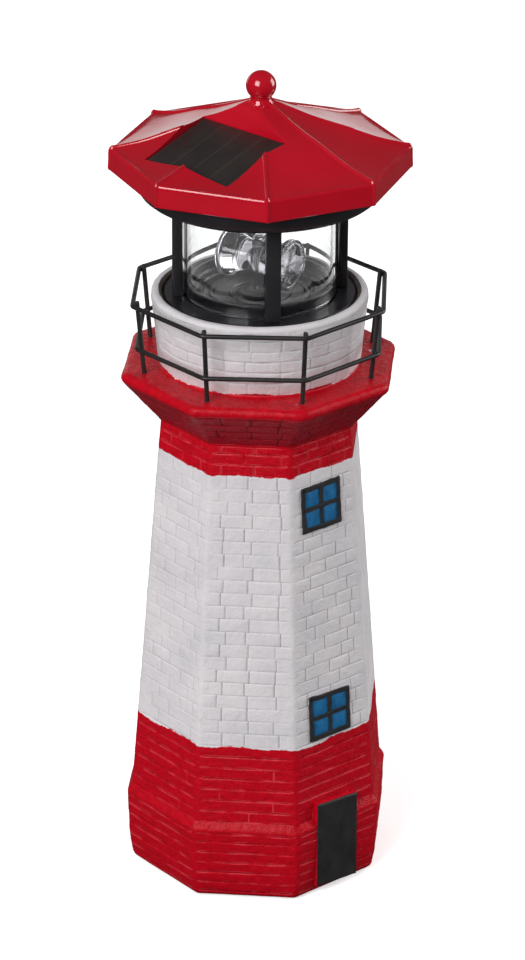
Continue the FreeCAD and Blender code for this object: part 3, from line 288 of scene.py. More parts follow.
def simple(name, a, b, rough=(0.35, 0.5), grain=0.5, bump=0.15, depth=0.05, tone=0.06, **fixed):
    """Moulded or drawn material: two near tones, uneven gloss and a fine grain."""
    n = Net(name)
    f = n.span(n.noise(tone, 3.0), 0.3, 0.7)
    color = n.mix(f, a, b)
    r = n.span(n.noise(tone * 2.3, 3.0), 0.3, 0.7, rough[0], rough[1])
    h = n.noise(grain, 4.0, 0.6)
    return n.done(color, r, n.bump(h, bump, depth), **fixed)


RED = (0.60, 0.001, 0.012)
RED_DEEP = (0.43, 0.001, 0.009)
RED_DUST = (0.62, 0.04, 0.06)
WHITE = (0.78, 0.745, 0.765)
WHITE_LOW = (0.67, 0.645, 0.67)


def paint_material(name, low, high, under_z=None, drum=False):
    """Hand-painted resin: white between two wavy lines, red outside them."""
    n = Net(name)
    wave = n.span(n.noise(0.055, 2.0, 0.5), 0.25, 0.75, -1.0, 1.0)
    brush = n.span(n.noise(0.35, 3.0, 0.6), 0.25, 0.75, -1.0, 1.0)
    line = n.math("ADD", n.math("MULTIPLY", wave, 1.25 if not drum else 1.1), n.math("MULTIPLY", brush, 0.45))
    zw = n.math("ADD", n.z, line)
    white = n.span(zw, low - 0.12, low + 0.12)
    if high is not None:
        white = n.math("MULTIPLY", white, n.span(n.math("ADD", n.z, n.math("MULTIPLY", line, 0.9)), high + 0.12, high - 0.12), clamp=True)
    groove = n.attr("groove")
    # white: a cool off-white with faint soiling, a little pink near the red
    cloud = n.span(n.noise(0.045, 4.0, 0.6), 0.32, 0.7)
    w = n.mix(cloud, WHITE, WHITE_LOW)
    speck = n.span(n.noise(1.1, 4.0, 0.7), 0.63, 0.74)
    w = n.mix(n.math("MULTIPLY", speck, 0.28), w, (0.55, 0.53, 0.55))
    w = n.mix(n.math("MULTIPLY", n.span(groove, 0.20, 0.75), 0.38), w, (0.34, 0.325, 0.345))
    w = n.mix(n.math("MULTIPLY", n.span(groove, 0.74, 0.98), 0.80), w, (0.11, 0.105, 0.115))
    if drum:
        w = n.mix(n.math("MULTIPLY", n.span(zw, low + 9.0, low), 0.22), w, (0.80, 0.45, 0.50))
    # red: brushed on, brighter where thick, with a painted highlight along the edges of the scribed lines, dark in the
    # scribed lines
    streak = n.span(n.noise(0.25, 4.0, 0.6, stretch=(1.0, 1.0, 3.0)), 0.3, 0.72)
    r = n.mix(streak, RED, RED_DEEP)
    r = n.mix(n.math("MULTIPLY", n.span(n.noise(1.6, 4.0, 0.7), 0.66, 0.75), 0.30), r, RED_DUST)
    # painted highlight: a pale pink line along both shoulders of each scribed line, patchy by noise
    edge = n.math("MULTIPLY", n.span(groove, 0.015, 0.08), n.span(groove, 0.45, 0.16), clamp=True)
    edge = n.math("MULTIPLY", edge, n.span(n.noise(0.12, 2.0), 0.42, 0.60, 0.02, 0.55))
    r = n.mix(edge, r, (0.80, 0.09, 0.12))
    r = n.mix(n.math("MULTIPLY", n.span(groove, 0.35, 1.0), 0.65), r, (0.12, 0.001, 0.004))
    # painted shade: the gallery's underside is painted a darker red, and its scribed lines darker still
    if under_z is not None:
        underside_shade = n.math("MULTIPLY", n.span(n.z, under_z[0], under_z[0] + 1.5), n.span(n.z, under_z[1] + 1.0, under_z[1] - 1.5), clamp=True)
        r = n.mix(n.math("MULTIPLY", underside_shade, 0.75), r, (0.27, 0.006, 0.016))
        r = n.mix(n.math("MULTIPLY", n.math("MULTIPLY", underside_shade, n.span(groove, 0.2, 0.9)), 0.8), r, (0.05, 0.001, 0.003))
    color = n.mix(white, r, w)
    gloss = n.span(n.noise(0.5, 3.0), 0.3, 0.7, 0.22, 0.42)
    dull = n.span(n.noise(0.5, 3.0), 0.3, 0.7, 0.52, 0.68)
    mixr = n.n("ShaderNodeMix")
    n.put(white, mixr.inputs["Factor"])
    n.put(gloss, mixr.inputs[2])
    n.put(dull, mixr.inputs[3])
    lump = n.noise(0.33, 3.0, 0.55)
    grain = n.noise(1.7, 4.0, 0.65)
    b1 = n.bump(lump, 0.8, 0.55)
    b2 = n.bump(grain, 0.7, 0.26, b1)
    return n.done(color, mixr.outputs[0], b2, Specular_IOR_Level=0.17)


M_WALL = paint_material("painted_wall", 74.0, 199.6)
M_GALLERY = paint_material("painted_gallery", 237.9, None, under_z=(213.6, 232.4), drum=True)
M_RED = paint_material("painted_red", 900.0, None)
M_INSIDE = simple("raw_resin", (0.50, 0.47, 0.44), (0.42, 0.39, 0.37), rough=(0.6, 0.8), grain=0.6, bump=0.3, depth=0.2)
M_RIM = simple("rim_umber", (0.12, 0.085, 0.075), (0.06, 0.045, 0.04), rough=(0.55, 0.75), grain=0.8, bump=0.3, depth=0.15)
M_BLACK = simple("satin_black", (0.016, 0.0155, 0.018), (0.024, 0.022, 0.026), rough=(0.30, 0.42), grain=1.4, bump=0.10, depth=0.04, Specular_IOR_Level=0.45)
M_FLOOR = simple("floor_black", (0.010, 0.009, 0.012), (0.018, 0.016, 0.020), rough=(0.26, 0.40), grain=1.0, bump=0.08, depth=0.04, Specular_IOR_Level=0.32)
M_WIRE = simple("wire_black", (0.014, 0.013, 0.013), (0.028, 0.025, 0.024), rough=(0.34, 0.50), grain=1.1, bump=0.35, depth=0.10, Specular_IOR_Level=0.5)
M_DOOR = simple("door_paint", (0.016, 0.014, 0.016), (0.026, 0.024, 0.026), rough=(0.45, 0.62), grain=0.9, bump=0.5, depth=0.18, tone=0.12)
M_STEEL = simple("zinc_steel", (0.55, 0.55, 0.56), (0.42, 0.42, 0.44), rough=(0.28, 0.42), grain=2.0, bump=0.15, depth=0.03, Metallic=1.0)
M_STEM = simple("grey_nylon", (0.05, 0.05, 0.052), (0.07, 0.07, 0.072), rough=(0.4, 0.55), grain=1.2, bump=0.1, depth=0.04)
M_NYLON = simple("white_nylon", (0.78, 0.77, 0.72), (0.70, 0.69, 0.64), rough=(0.4, 0.55), grain=1.2, bump=0.1, depth=0.04)
M_BOARD = simple("board_green", (0.02, 0.16, 0.05), (0.012, 0.11, 0.035), rough=(0.3, 0.45), grain=1.5, bump=0.12, depth=0.03)
M_CELL = simple("cell_sleeve", (0.10, 0.28, 0.12), (0.07, 0.22, 0.09), rough=(0.25, 0.35), grain=1.0, bump=0.05, depth=0.02)
M_LEAD = simple("lead_sheath", (0.30, 0.02, 0.02), (0.22, 0.015, 0.015), rough=(0.4, 0.55), grain=1.5, bump=0.1, depth=0.03)
M_PAD = simple("pad_rubber", (0.03, 0.03, 0.03), (0.045, 0.045, 0.045), rough=(0.7, 0.85), grain=1.2, bump=0.3, depth=0.08)
M_LAMP = simple("lamp_resin", (0.95, 0.93, 0.80), (0.9, 0.88, 0.75), rough=(0.1, 0.2), grain=1.0, bump=0.04, depth=0.02)


def gloss_red(name, weld=False):
    n = Net(name)
    f = n.span(n.noise(0.035, 3.0), 0.3, 0.7)
    color = n.mix(f, (0.52, 0.004, 0.017), (0.45, 0.003, 0.013))
    r = n.span(n.noise(0.08, 3.0), 0.3, 0.7, 0.09, 0.17)
    h = n.noise(0.09, 2.0, 0.5)
    b = n.bump(h, 0.35, 0.30)
    b = n.bump(n.noise(1.2, 3.0), 0.05, 0.04, b)
    return n.done(color, r, b, Specular_IOR_Level=0.55, Coat_Weight=0.35, Coat_Roughness=0.06)


M_ROOF = gloss_red("gloss_red_roof")


def clear(name, tint, rough, ior):
    n = Net(name)
    f = n.span(n.noise(0.05, 2.0), 0.3, 0.7)
    color = n.mix(f, tint, tuple(c * 0.975 for c in tint))
    r = n.span(n.noise(0.2, 3.0), 0.3, 0.7, rough * 0.5, rough * 1.6)
    return n.done(color, r, n.bump(n.noise(0.06, 2.0), 0.12, 0.15), Transmission_Weight=1.0, IOR=ior)


M_TUBE = clear("clear_acrylic", (0.985, 0.99, 0.99), 0.012, 1.46)
# the lens's grey tint is painted shade: it darkens the clear lens in place of the dark lantern inside seen through it
M_LENS = clear("clear_styrene", (0.46, 0.455, 0.49), 0.02, 1.50)


def pane_material():
    n = Net("pane_blue")
    f = n.span(n.noise(0.30, 3.0, 0.6, stretch=(1.0, 1.0, 0.45)), 0.32, 0.68)
    color = n.mix(f, (0.004, 0.105, 0.27), (0.010, 0.185, 0.43))
    dark = n.span(n.noise(0.55, 3.0, 0.6), 0.55, 0.75)
    color = n.mix(n.math("MULTIPLY", dark, 0.45), color, (0.004, 0.05, 0.13))
    r = n.span(n.noise(0.7, 3.0), 0.3, 0.7, 0.32, 0.5)
    return n.done(color, r, n.bump(n.noise(1.0, 4.0), 0.4, 0.15))


M_PANE = pane_material()

# ---------------------------------------------------------------- the casting's outside
LEVELS = [(57.0, 0.8), (58.6, 4.5), (59.5, 11.0), (60.4, 33.4), (60.45, 34.3), (60.1, 35.6), (58.25, 38.3), (44.25, 213.0), (60.4, 231.8), (61.6, 234.2), (60.8, 236.2), (59.6, 236.8)]


def corner_r(z, lo=0, hi=8):
    for (r0, z0), (r1, z1) in list(zip(LEVELS, LEVELS[1:]))[lo:hi]:
        if z0 <= z <= z1:
            return r0 + (r1 - r0) * (z - z0) / (z1 - z0)
    return LEVELS[hi][0] if z > LEVELS[hi][1] else LEVELS[lo][0]


def flat_template(row, k, h, round_r, style):
    """Columns across one flat of one row: (kind, place, joint weight, brick number)."""
    c = round_r * T22
    cols = [("L", 0.0, 0, -1), ("L", 0.45 * c, 0, -1), ("L", c, 0, 0), ("L", c + 1.2, 0, 0)]
    seed = row * 8 + k
    if row % 2 == 0:
        places = [-12.9, -1.2, 12.2]
    else:
        places = [-7.8, 6.3, 15.3]
    if k % 2:
        places = sorted(-p + (3.1 if row % 2 else -2.0) for p in places)
    shift = [0.0, 2.6, -1.7, 1.2, -2.9, 0.8, -0.6, 1.9][k]
    joints = []
    for j, p in enumerate(places):
        x = p + shift + (rnd(seed, j, 1) - 0.5) * 2.6
        w = 0.35 + 0.65 * rnd(seed, j, 2)
        if rnd(seed, j, 3) < style["miss"]:
            w = 0.0
        limit = h - c - 2.6
        if abs(x) > limit:
            x = math.copysign(limit - 0.3, x)
            w = 0.0
        joints.append([x, w])
    for j in range(1, 3):
        if joints[j][0] - joints[j - 1][0] < 4.0:
            joints[j][0] = joints[j - 1][0] + 4.0
            joints[j][1] *= 0.5
    if joints[2][0] > h - c - 2.6:
        joints[2][0], joints[2][1] = h - c - 2.7, 0.0
    g = style["half"]
    edge = -(h - c - 1.2)
    for j in range(4):
        left = edge if j == 0 else joints[j - 1][0] + g
        right = (h - c - 1.2) if j == 3 else joints[j][0] - g
        w = right - left
        inset = min(0.55, w * 0.2)
        cols += [("M", left + inset, 0, j), ("M", (left + right) / 2, 0, j), ("M", right - inset, 0, j)]
        if j < 3:
            x, wt = joints[j]
            cols += [("M", x - g, wt * 0.12, j), ("M", x, wt, j), ("M", x + g, wt * 0.12, j + 1)]
    cols += [("R", c + 1.2, 0, 3), ("R", c, 0, 3), ("R", 0.45 * c, 0, -1)]
    return cols


def ring_points(R, z, columns, h_mid, round_r, round_w, drop):
    """One closed line round the tower. drop(k, x, e, weight, brick) gives (inward, upward) shifts and a groove value."""
    pts, groove = [], []
    for k in range(8):
        a = math.radians(-90 + 45 * k)
        n, t = Vector((math.cos(a), math.sin(a), 0)), Vector((-math.sin(a), math.cos(a), 0))
        h, ap, c = R * S22, R * C22, round_r * T22
        for kind, place, weight, brick in columns[k]:
            if kind == "L":
                x = -(h - place)
            elif kind == "R":
                x = h - place
            else:
                x = place * h / h_mid
            e = h - abs(x)
            if e < c:
                phi = (1 - e / c) * math.radians(22.5) * (1 if x > 0 else -1)
                p = n * (ap - round_r + round_r * math.cos(phi)) + t * ((h - c) * (1 if x > 0 else -1) + round_r * math.sin(phi))
                nn = n * math.cos(phi) + t * math.sin(phi)
            else:
                p = n * ap + t * x
                nn = n
            if round_w > 0:
                th = x / h * math.radians(22.5)
                cn = n * math.cos(th) + t * math.sin(th)
                p = p.lerp(cn * R, round_w)
                nn = nn.lerp(cn, round_w).normalized()
            inward, upward, gv = drop(k, x, e, weight, brick)
            p = p - nn * inward
            pts.append((p.x, p.y, z + upward))
            groove.append(gv)
    return pts, groove


STYLE = {
    "plinth": dict(dh=0.42, dv=0.10, miss=0.93, half=0.40, gh=0.45, lump=0.22),
    "red": dict(dh=0.40, dv=0.12, miss=0.85, half=0.36, gh=0.42, lump=0.16),
    "white": dict(dh=0.31, dv=0.90, miss=0.06, half=0.27, gh=0.30, lump=0.15),
    "band": dict(dh=0.38, dv=0.42, miss=0.25, half=0.36, gh=0.40, lump=0.14),
    "under": dict(dh=0.60, dv=0.65, miss=0.05, half=0.42, gh=0.42, lump=0.16),
    "drum": dict(dh=0.42, dv=0.42, miss=0.25, half=0.38, gh=0.42, lump=0.16),
}
EMPTY = dict(dh=0.0, dv=0.0, miss=1.0, half=0.4, gh=0.4, lump=0.16)


def brick_lines(row, style_name, p0, p1, round_r, round_w=0.0, lines=7):
    """The lines of one row of bricks, between two (R, z) points of the profile."""
    st = STYLE[style_name]
    (r0, z0), (r1, z1) = p0, p1
    length = math.hypot(r1 - r0, z1 - z0)
    h_mid = (r0 + r1) / 2 * S22
    columns = [flat_template(row, k, h_mid, round_r, st) for k in range(8)]
    nr, nzv = (z1 - z0) / length, -(r1 - r0) / length
    g = st["gh"]
    steps = [(0.04, 1.0, 0), (g, 0.12, 0.35), (g + 0.55, 0.0, 1.0), (length * 0.5, 0.0, 1.0), (length - g - 0.55, 0.0, 1.0), (length - g, 0.12, 0.35), (length - 0.04, 1.0, 0)]
    out = []
    for s, gh, body in steps:
        f = s / length
        R, z = r0 + (r1 - r0) * f, z0 + (z1 - z0) * f

        def drop(k, x, e, weight, brick, gh=gh, body=body, R=R, z=z, top=(s > length / 2)):
            key = row + (1 if top else 0)
            hs = min(1.0, max(0.18, 0.62 + 0.9 * nz(x * 0.11 + k * 9.1, key * 3.7, 1.5)))
            if round_w < 0.5:
                hs *= smooth(0.6, 3.4, e + 1.1 * nz(key * 2.3, k * 5.1, 7.7))
                vs = 1.0
            else:
                vs = 1.0
            depth = max(gh * st["dh"] * hs, weight * st["dv"] * vs * (1.0 if body > 0 else 0.8))
            face = (rnd(row * 8 + k, brick + 2, 5) - 0.5) * 0.16 * body if brick >= 0 and weight == 0 else 0.0
            a = math.radians(-90 + 45 * k) + (x / max(R, 1)) * 1.0
            px, py = math.cos(a) * R, math.sin(a) * R
            lump = st["lump"] * nz(px * 0.16, py * 0.16, z * 0.16 + 3) + st["lump"] * 0.55 * nz(px * 0.45, py * 0.45, z * 0.5)
            inward = depth + face + lump * (0.35 + 0.65 * body)
            wave = 0.16 * nz(x * 0.13 + k * 3.3, key * 1.9, 4.4) + (0.28 * smooth(5.0, 0.0, e) * nz(key * 1.7, k * 2.2, 9.0) if round_w < 0.5 else 0)
            return inward * nr, wave - inward * nzv, min(1.0, depth / 0.45)

        out.append(ring_points(R, z, columns, h_mid, round_r, round_w, drop))
    return out


def plain_line(R, z, round_r, round_w=0.0, lump=0.16, up=0.0, row=900):
    h_mid = R * S22
    columns = [flat_template(row, k, max(h_mid, 14.0), round_r, EMPTY) for k in range(8)]

    def drop(k, x, e, weight, brick):
        a = math.radians(-90 + 45 * k) + x / R
        px, py = math.cos(a) * R, math.sin(a) * R
        v = lump * nz(px * 0.14, py * 0.14, z * 0.14 + 8) + lump * 0.5 * nz(px * 0.4, py * 0.4, z * 0.4)
        return v, up * nz(px * 0.09, py * 0.09, 2.2), 0.0

    return ring_points(R, z, columns, max(h_mid, 14.0), round_r, round_w, drop)


def line_mesh(lines):
    verts, faces, groove = [], [], []
    n = len(lines[0][0])
    for pts, gv in lines:
        verts += pts
        groove += gv
    for i in range(len(lines) - 1):
        a, b = i * n, (i + 1) * n
        faces += [(a + k, a + (k + 1) % n, b + (k + 1) % n, b + k) for k in range(n)]
    return verts, faces, groove


def add_groove(ob, values):
    at = ob.data.attributes.new("groove", "FLOAT", "POINT")
    at.data.foreach_set("value", values)


rows, lines = 0, []
for R, z in ((54.5, 0.8), (56.5, 0.85), (57.5, 1.8), (58.05, 2.9)):
    lines.append(plain_line(R, z, 3.2, lump=0.12))
bounds_z = [3.6, 8.5, 13.6, 18.7, 23.8, 28.9, 33.2]
for z0, z1 in zip(bounds_z, bounds_z[1:]):
    lines += brick_lines(rows, "plinth", (corner_r(z0), z0), (corner_r(z1), z1), 3.6)
    rows += 1
for R, z in ((60.4, 33.8), (60.4, 34.6), (60.05, 35.4), (59.35, 36.4), (58.75, 37.3), (58.25, 38.0)):
    lines.append(plain_line(R, z, 3.6, lump=0.22, up=0.35))
bounds_z = [38.3, 43.4, 48.6, 53.8, 58.9, 64.1, 69.3, 74.6]
for z0, z1 in zip(bounds_z, bounds_z[1:]):
    lines += brick_lines(rows, "red", (corner_r(z0), z0), (corner_r(z1), z1), 3.6)
    rows += 1
z0 = 74.6
while z0 < 198.5:
    z1 = z0 + 5.95
    lines += brick_lines(rows, "white", (corner_r(z0), z0), (corner_r(z1), z1), 3.6)
    rows += 1
    z0 = z1
band = [z0, 204.6, 209.4, 213.0]
for z0, z1 in zip(band, band[1:]):
    lines += brick_lines(rows, "band", (corner_r(z0), z0), (corner_r(z1), z1), 3.0)
    rows += 1
v, f, g = line_mesh(lines)
wall = piece("tower_wall", v, f, [M_WALL], "tower", "tower_casting")
add_groove(wall, g)

# gallery, drum and everything inside
lines = [plain_line(44.25, 212.6, 3.0), plain_line(44.3, 213.2, 3.0), plain_line(45.1, 213.9, 3.0, lump=0.1)]
under = [(45.1, 214.0), (48.9, 218.45), (52.7, 222.9), (56.5, 227.35), (60.3, 231.7)]
for i, (p0, p1) in enumerate(zip(under, under[1:])):
    lines += brick_lines(rows, "under", p0, p1, (3.4, 4.0, 4.7, 5.4)[i])
    rows += 1
for R, z in ((60.9, 232.3), (61.5, 233.2), (61.75, 234.2), (61.5, 235.3), (60.8, 236.2), (59.8, 236.75)):
    lines.append(plain_line(R, z, 5.8, lump=0.32, up=0.28))
for R, w in ((57.6, 0.1), (55.0, 0.25), (52.0, 0.45), (49.0, 0.7), (46.5, 0.9), (44.6, 1.0), (43.9, 1.0)):
    lines.append(plain_line(R, 236.85, 5.0, w, lump=0.1, up=0.22))
lines.append(plain_line(43.4, 237.3, 3.0, 1.0, lump=0.1, up=0.15))
drum = [238.0, 243.1, 248.1, 253.1, 258.0, 262.9, 266.6]


def drum_r(z):
    return 43.3 + 3.1 * (z - 236.8) / 30.4


for z0, z1 in zip(drum, drum[1:]):
    lines += brick_lines(rows, "drum", (drum_r(z0), z0), (drum_r(z1), z1), 3.0, 1.0)
    rows += 1
outer_count = None
for R, z in ((46.35, 267.0), (46.25, 267.8), (45.8, 268.5), (45.1, 268.9), (44.2, 269.05), (43.2, 268.9)):
    lines.append(plain_line(R, z, 3.0, 1.0, lump=0.24, up=0.22))
outer_lines = len(lines)
for R, z in ((42.3, 268.45), (41.75, 267.9), (41.55, 267.0), (41.5, 265.0), (38.65, 265.0), (38.6, 264.8), (38.6, 219.0), (35.8, 216.0), (35.8, 213.0), (39.4, 156.0), (43.2, 96.0), (46.9, 37.0), (47.0, 36.0), (47.0, 0.9), (47.2, 0.8), (54.5, 0.8)):
    last = (R, z) == (54.5, 0.8)
    lines.append(plain_line(R, z, 3.2, 0.0 if last else 1.0, lump=0.12 if last else 0.0))
v, f, g = line_mesh(lines)
n_line = len(lines[0][0])
index = []
for i in range(len(lines) - 1):
    m = 0 if i < outer_lines - 1 else (1 if i < outer_lines + 3 else 2)
    index += [m] * n_line
gallery = piece("tower_gallery", v, f, [M_GALLERY, M_RIM, M_INSIDE], "tower", "tower_casting", mat_index=index)
add_groove(gallery, g)


# ---------------------------------------------------------------- door and windows
def slab(outline, back, front, soft, origin_, xa, ya, za, jitter=0.0, seed=0, per=6, crown=0.0):
    """A plate from an outline of (x, y) points, with its edge subdivided, a little uneven and rounded at the front."""
    pts = []
    n = len(outline)
    for i in range(n):
        (x0, y0), (x1, y1) = outline[i], outline[(i + 1) % n]
        for s in range(per):
            f = s / per
            x, y = x0 + (x1 - x0) * f, y0 + (y1 - y0) * f
            length = math.hypot(x1 - x0, y1 - y0)
            off = jitter * nz(x * 0.35 + seed * 7.3, y * 0.35 + i * 2.1, seed * 1.9)
            nx, ny = (y1 - y0) / length, -(x1 - x0) / length
            pts.append((x + nx * off, y + ny * off))
    cx, cy = sum(p[0] for p in pts) / len(pts), sum(p[1] for p in pts) / len(pts)

    def ring(inset, out):
        r = []
        for x, y in pts:
            dx, dy = cx - x, cy - y
            L = math.hypot(dx, dy)
            s = min(inset, L * 0.9)
            r.append((x + dx / L * s, y + dy / L * s, out))
        return r

    rings = [ring(0, back), ring(0, front - soft), ring(soft * 0.3, front - soft * 0.3), ring(soft, front), ring(soft * 2.5, front + crown * 0.5)]
    verts = [p for r in rings for p in r] + [(cx, cy, front + crown)]
    m = len(pts)
    faces = [tuple(range(m - 1, -1, -1))]
    for i in range(len(rings) - 1):
        faces += [(i * m + k, i * m + (k + 1) % m, (i + 1) * m + (k + 1) % m, (i + 1) * m + k) for k in range(m)]
    top = (len(rings) - 1) * m
    faces += [(top + k, top + (k + 1) % m, len(verts) - 1) for k in range(m)]
    o = Vector(origin_)
    return [tuple(o + xa * x + ya * y + za * z) for x, y, z in verts], faces


X, Y, Z = Vector((1, 0, 0)), Vector((0, 1, 0)), Vector((0, 0, 1))
# door: a dark slab in a red-painted border that shows at its side
door_out = [(-11.9, 4.6), (10.9, 3.1), (10.7, 44.4), (-12.1, 45.8)]
v, f = slab(door_out, 50.6, 56.4, 0.7, (0, 0, 0), X, Z, -Y, jitter=0.25, seed=3, per=10)
bounds_front = 55.9
idx = [0 if -sum(v[i][1] for i in face) / len(face) > bounds_front else 1 for face in f]
piece("door_slab", v, f, [M_DOOR, M_RED], "tower", "tower_casting", flat=50, mat_index=idx)

lean = math.atan((57.3 - 43.3) * C22 / (213.0 - 38.3))
up_wall = Vector((0, math.sin(lean), math.cos(lean)))
out_wall = Vector((0, -math.cos(lean), math.sin(lean)))


def window(tag, zc, x0, x1, tl, tr, b, seed):
    """Black painted frame of uneven bars over four blue panes. tl, tr, b are the heights of the top corners and the foot."""
    face = corner_r(zc) * C22
    o = (0, -face, zc)
    xm, bw = (x0 + x1) / 2, 2.0
    ym = (min(tl, tr) + b) / 2 + 0.2
    bars = [
        [(x0, b), (x0 + bw + 0.1, b), (x0 + bw - 0.2, tl - 0.1), (x0 + 0.1, tl)],
        [(x1 - bw - 0.1, b), (x1, b + 0.1), (x1 - 0.1, tr), (x1 - bw + 0.2, tr)],
        [(x0 + 0.2, b), (x1 - 0.2, b), (x1 - 0.2, b + bw), (x0 + 0.2, b + bw + 0.2)],
        [(x0 + 0.2, tl - bw), (x1 - 0.2, tr - bw), (x1 - 0.2, tr), (x0 + 0.2, tl)],
        [(xm - 0.9, b + 0.4), (xm + 0.9, b + 0.4), (xm + 1.1, (tl + tr) / 2 - 0.6), (xm - 0.8, (tl + tr) / 2 - 0.6)],
        [(x0 + 0.6, ym - 0.9), (x1 - 0.6, ym - 0.6), (x1 - 0.6, ym + 1.2), (x0 + 0.6, ym + 0.8)],
    ]
    parts = []
    for i, bar in enumerate(bars):
        parts.append(slab(bar, -1.2, 0.72 + 0.05 * (i % 3), 0.28, o, X, up_wall, out_wall, jitter=0.42, seed=seed + i, per=9))
    v, f = merged(*parts)
    piece("window_bars_" + tag, v, f, [M_DOOR], "tower", "tower_casting")
    parts = []
    for sx in (0, 1):
        for sy in (0, 1):
            xa, xb = (x0 + 1.2, xm - 0.2) if sx == 0 else (xm + 0.2, x1 - 1.2)
            ya, yb = (b + 1.2, ym - 0.2) if sy == 0 else (ym + 0.2, (tl if sx == 0 else tr) - 1.3)
            parts.append(slab([(xa, ya), (xb, ya), (xb, yb), (xa, yb)], -1.2, 0.26, 0.15, o, X, up_wall, out_wall, seed=seed + 20 + sx * 2 + sy, per=6, crown=0.14))
    v, f = merged(*parts)
    piece("window_panes_" + tag, v, f, [M_PANE], "tower", "tower_casting")


window("high", 183.0, -12.4, 9.2, 10.0, 10.4, -10.5, 11)
window("low", 85.4, -12.9, 10.1, 10.9, 9.9, -10.3, 41)


# ---------------------------------------------------------------- wire railing
TURN, BEND = 25.23, 3.5


def rail_path(R, z):
    pts = []
    for k in range(8):
        a = math.radians(TURN + 45 * k)
        corner = Vector((R * math.sin(a), -R * math.cos(a), z))
        out = Vector((math.sin(a), -math.cos(a), 0))
        side = Vector((math.cos(a), math.sin(a), 0))
        centre = corner - out * (BEND / C22)
        for s in range(-4, 5):
            p = math.radians(22.5) * s / 4
            pts.append(centre + out * (BEND * math.cos(p)) + side * (BEND * math.sin(p)))
        b = math.radians(TURN + 45 * (k + 1))
        nxt = Vector((R * math.sin(b), -R * math.cos(b), z))
        d = (nxt - corner)
        for s in (0.2, 0.4, 0.6, 0.8):
            q = corner + d * s
            bow = 0.12 * nz(k * 3.3, s * 2.0, z * 0.1)
            pts.append(q + Vector((0, 0, bow)))
    return pts


for name, R, z in (("rail_wire_high", 57.2, 268.1), ("rail_wire_low", 55.4, 248.4)):
    v, f = tube_mesh(rail_path(R, z), 1.0, seg=16, closed=True)
    piece(name, v, f, [M_WIRE], "tower", "rail_upper_ring" if "high" in name else "rail_lower_ring")


def inside_corner(R):
    return R - BEND * (1 / C22 - 1) - 2.0 + 0.03


slope = (inside_corner(57.2) - inside_corner(55.4)) / (268.1 - 248.4)
parts = []
for k in range(8):
    a = math.radians(TURN + 45 * k)
    out = Vector((math.sin(a), -math.cos(a), 0))

    def on_post(z):
        return out * (inside_corner(55.4) + (z - 248.4) * slope) + Vector((0, 0, z))

    parts.append(tube_mesh([on_post(z) for z in (232.7, 236.5, 242.0, 248.4, 255.0, 262.0, 268.1, 269.7)], 1.0, seg=16))
    # weld beads where each ring crosses, and a collar of paint at the foot
    for z in (248.4, 268.1):
        c = on_post(z) + out * 0.95
        parts.append(blob(c + Vector((0, 0, 0.75)), 0.95, 0.95, 0.7))
        parts.append(blob(c - Vector((0, 0, 0.75)), 0.95, 0.95, 0.7))
    parts.append(blob(on_post(236.85), 1.25, 1.25, 0.3, seg=16))
v, f = merged(*parts)
piece("rail_post_set", v, f, [M_WIRE], "tower", "rail_posts")

# ---------------------------------------------------------------- lantern
lip = 0.35
profile = [(31.1, 268.05 + lip), (31.1 + lip, 268.05), (33.1 - lip, 268.05), (33.1, 268.05 + lip), (33.1, 311.95 - lip), (33.1 - lip, 311.95), (31.1 + lip, 311.95), (31.1, 311.95 - lip)]
v, f = turned(profile, 160)
piece("tube_clear", v, f, [M_TUBE], "lantern", "clear_tube", flat=30)

# pan under the roof: a bowl with a rolled edge, closed by the flange the roof rests on
profile = [(0, 312.0), (46.4, 312.0), (47.6, 312.2), (49.2, 312.9), (50.9, 314.3), (52.3, 316.4), (53.4, 319.0), (54.1, 322.0), (54.4, 325.0), (60.2, 325.0), (60.4, 325.3), (60.4, 326.7), (60.2, 327.0),
           (52.4, 327.0), (52.1, 322.2), (51.4, 319.6), (50.5, 317.4), (49.2, 315.6), (47.6, 314.4), (46.0, 314.0), (0, 314.0)]
v, f = turned(profile, 120, closed=False)
for i, (x, y, z) in enumerate(v):
    R = math.hypot(x, y)
    if R > 58:
        # the flange is an octagon, as the roof is
        a = (math.degrees(math.atan2(y, x)) - 7.5) % 45 - 22.5
        s = C22 / math.cos(math.radians(a))
        v[i] = (x * s, y * s, z)
piece("pan_bowl", v, f, [M_BLACK], "lantern", "roof_pan", flat=30)

profile = [(9.4, 266.9), (9.6, 267.25), (12.0, 267.3), (12.3, 267.75), (13.3, 267.75), (13.6, 267.3), (19.2, 267.3), (19.6, 267.9), (20.1, 268.05), (21.2, 268.05), (21.6, 267.8), (21.9, 267.3),
           (26.2, 267.3), (26.6, 268.3), (27.2, 268.7), (28.6, 268.7), (29.1, 269.2), (29.38, 269.8), (29.38, 266.9)]
v, f = turned(profile, 120)
piece("floor_rings", v, f, [M_FLOOR], "lantern", flat=40)

parts = []
for k in range(4):
    b = math.radians(-31.2 + 90 * k)
    out, side = Vector((math.sin(b), -math.cos(b), 0)), Vector((math.cos(b), math.sin(b), 0))
    m = Matrix.Translation(out * (33.5 + 1.9) + Vector((0, 0, 290.0))) @ Matrix((out, side, Vector((0, 0, 1)))).transposed().to_4x4()
    parts.append(soft_box(3.8, 6.4, 44.0, 0.55, m))
v, f = merged(*parts)
piece("pillar_bars", v, f, [M_BLACK], "lantern", "lantern_posts", flat=55)

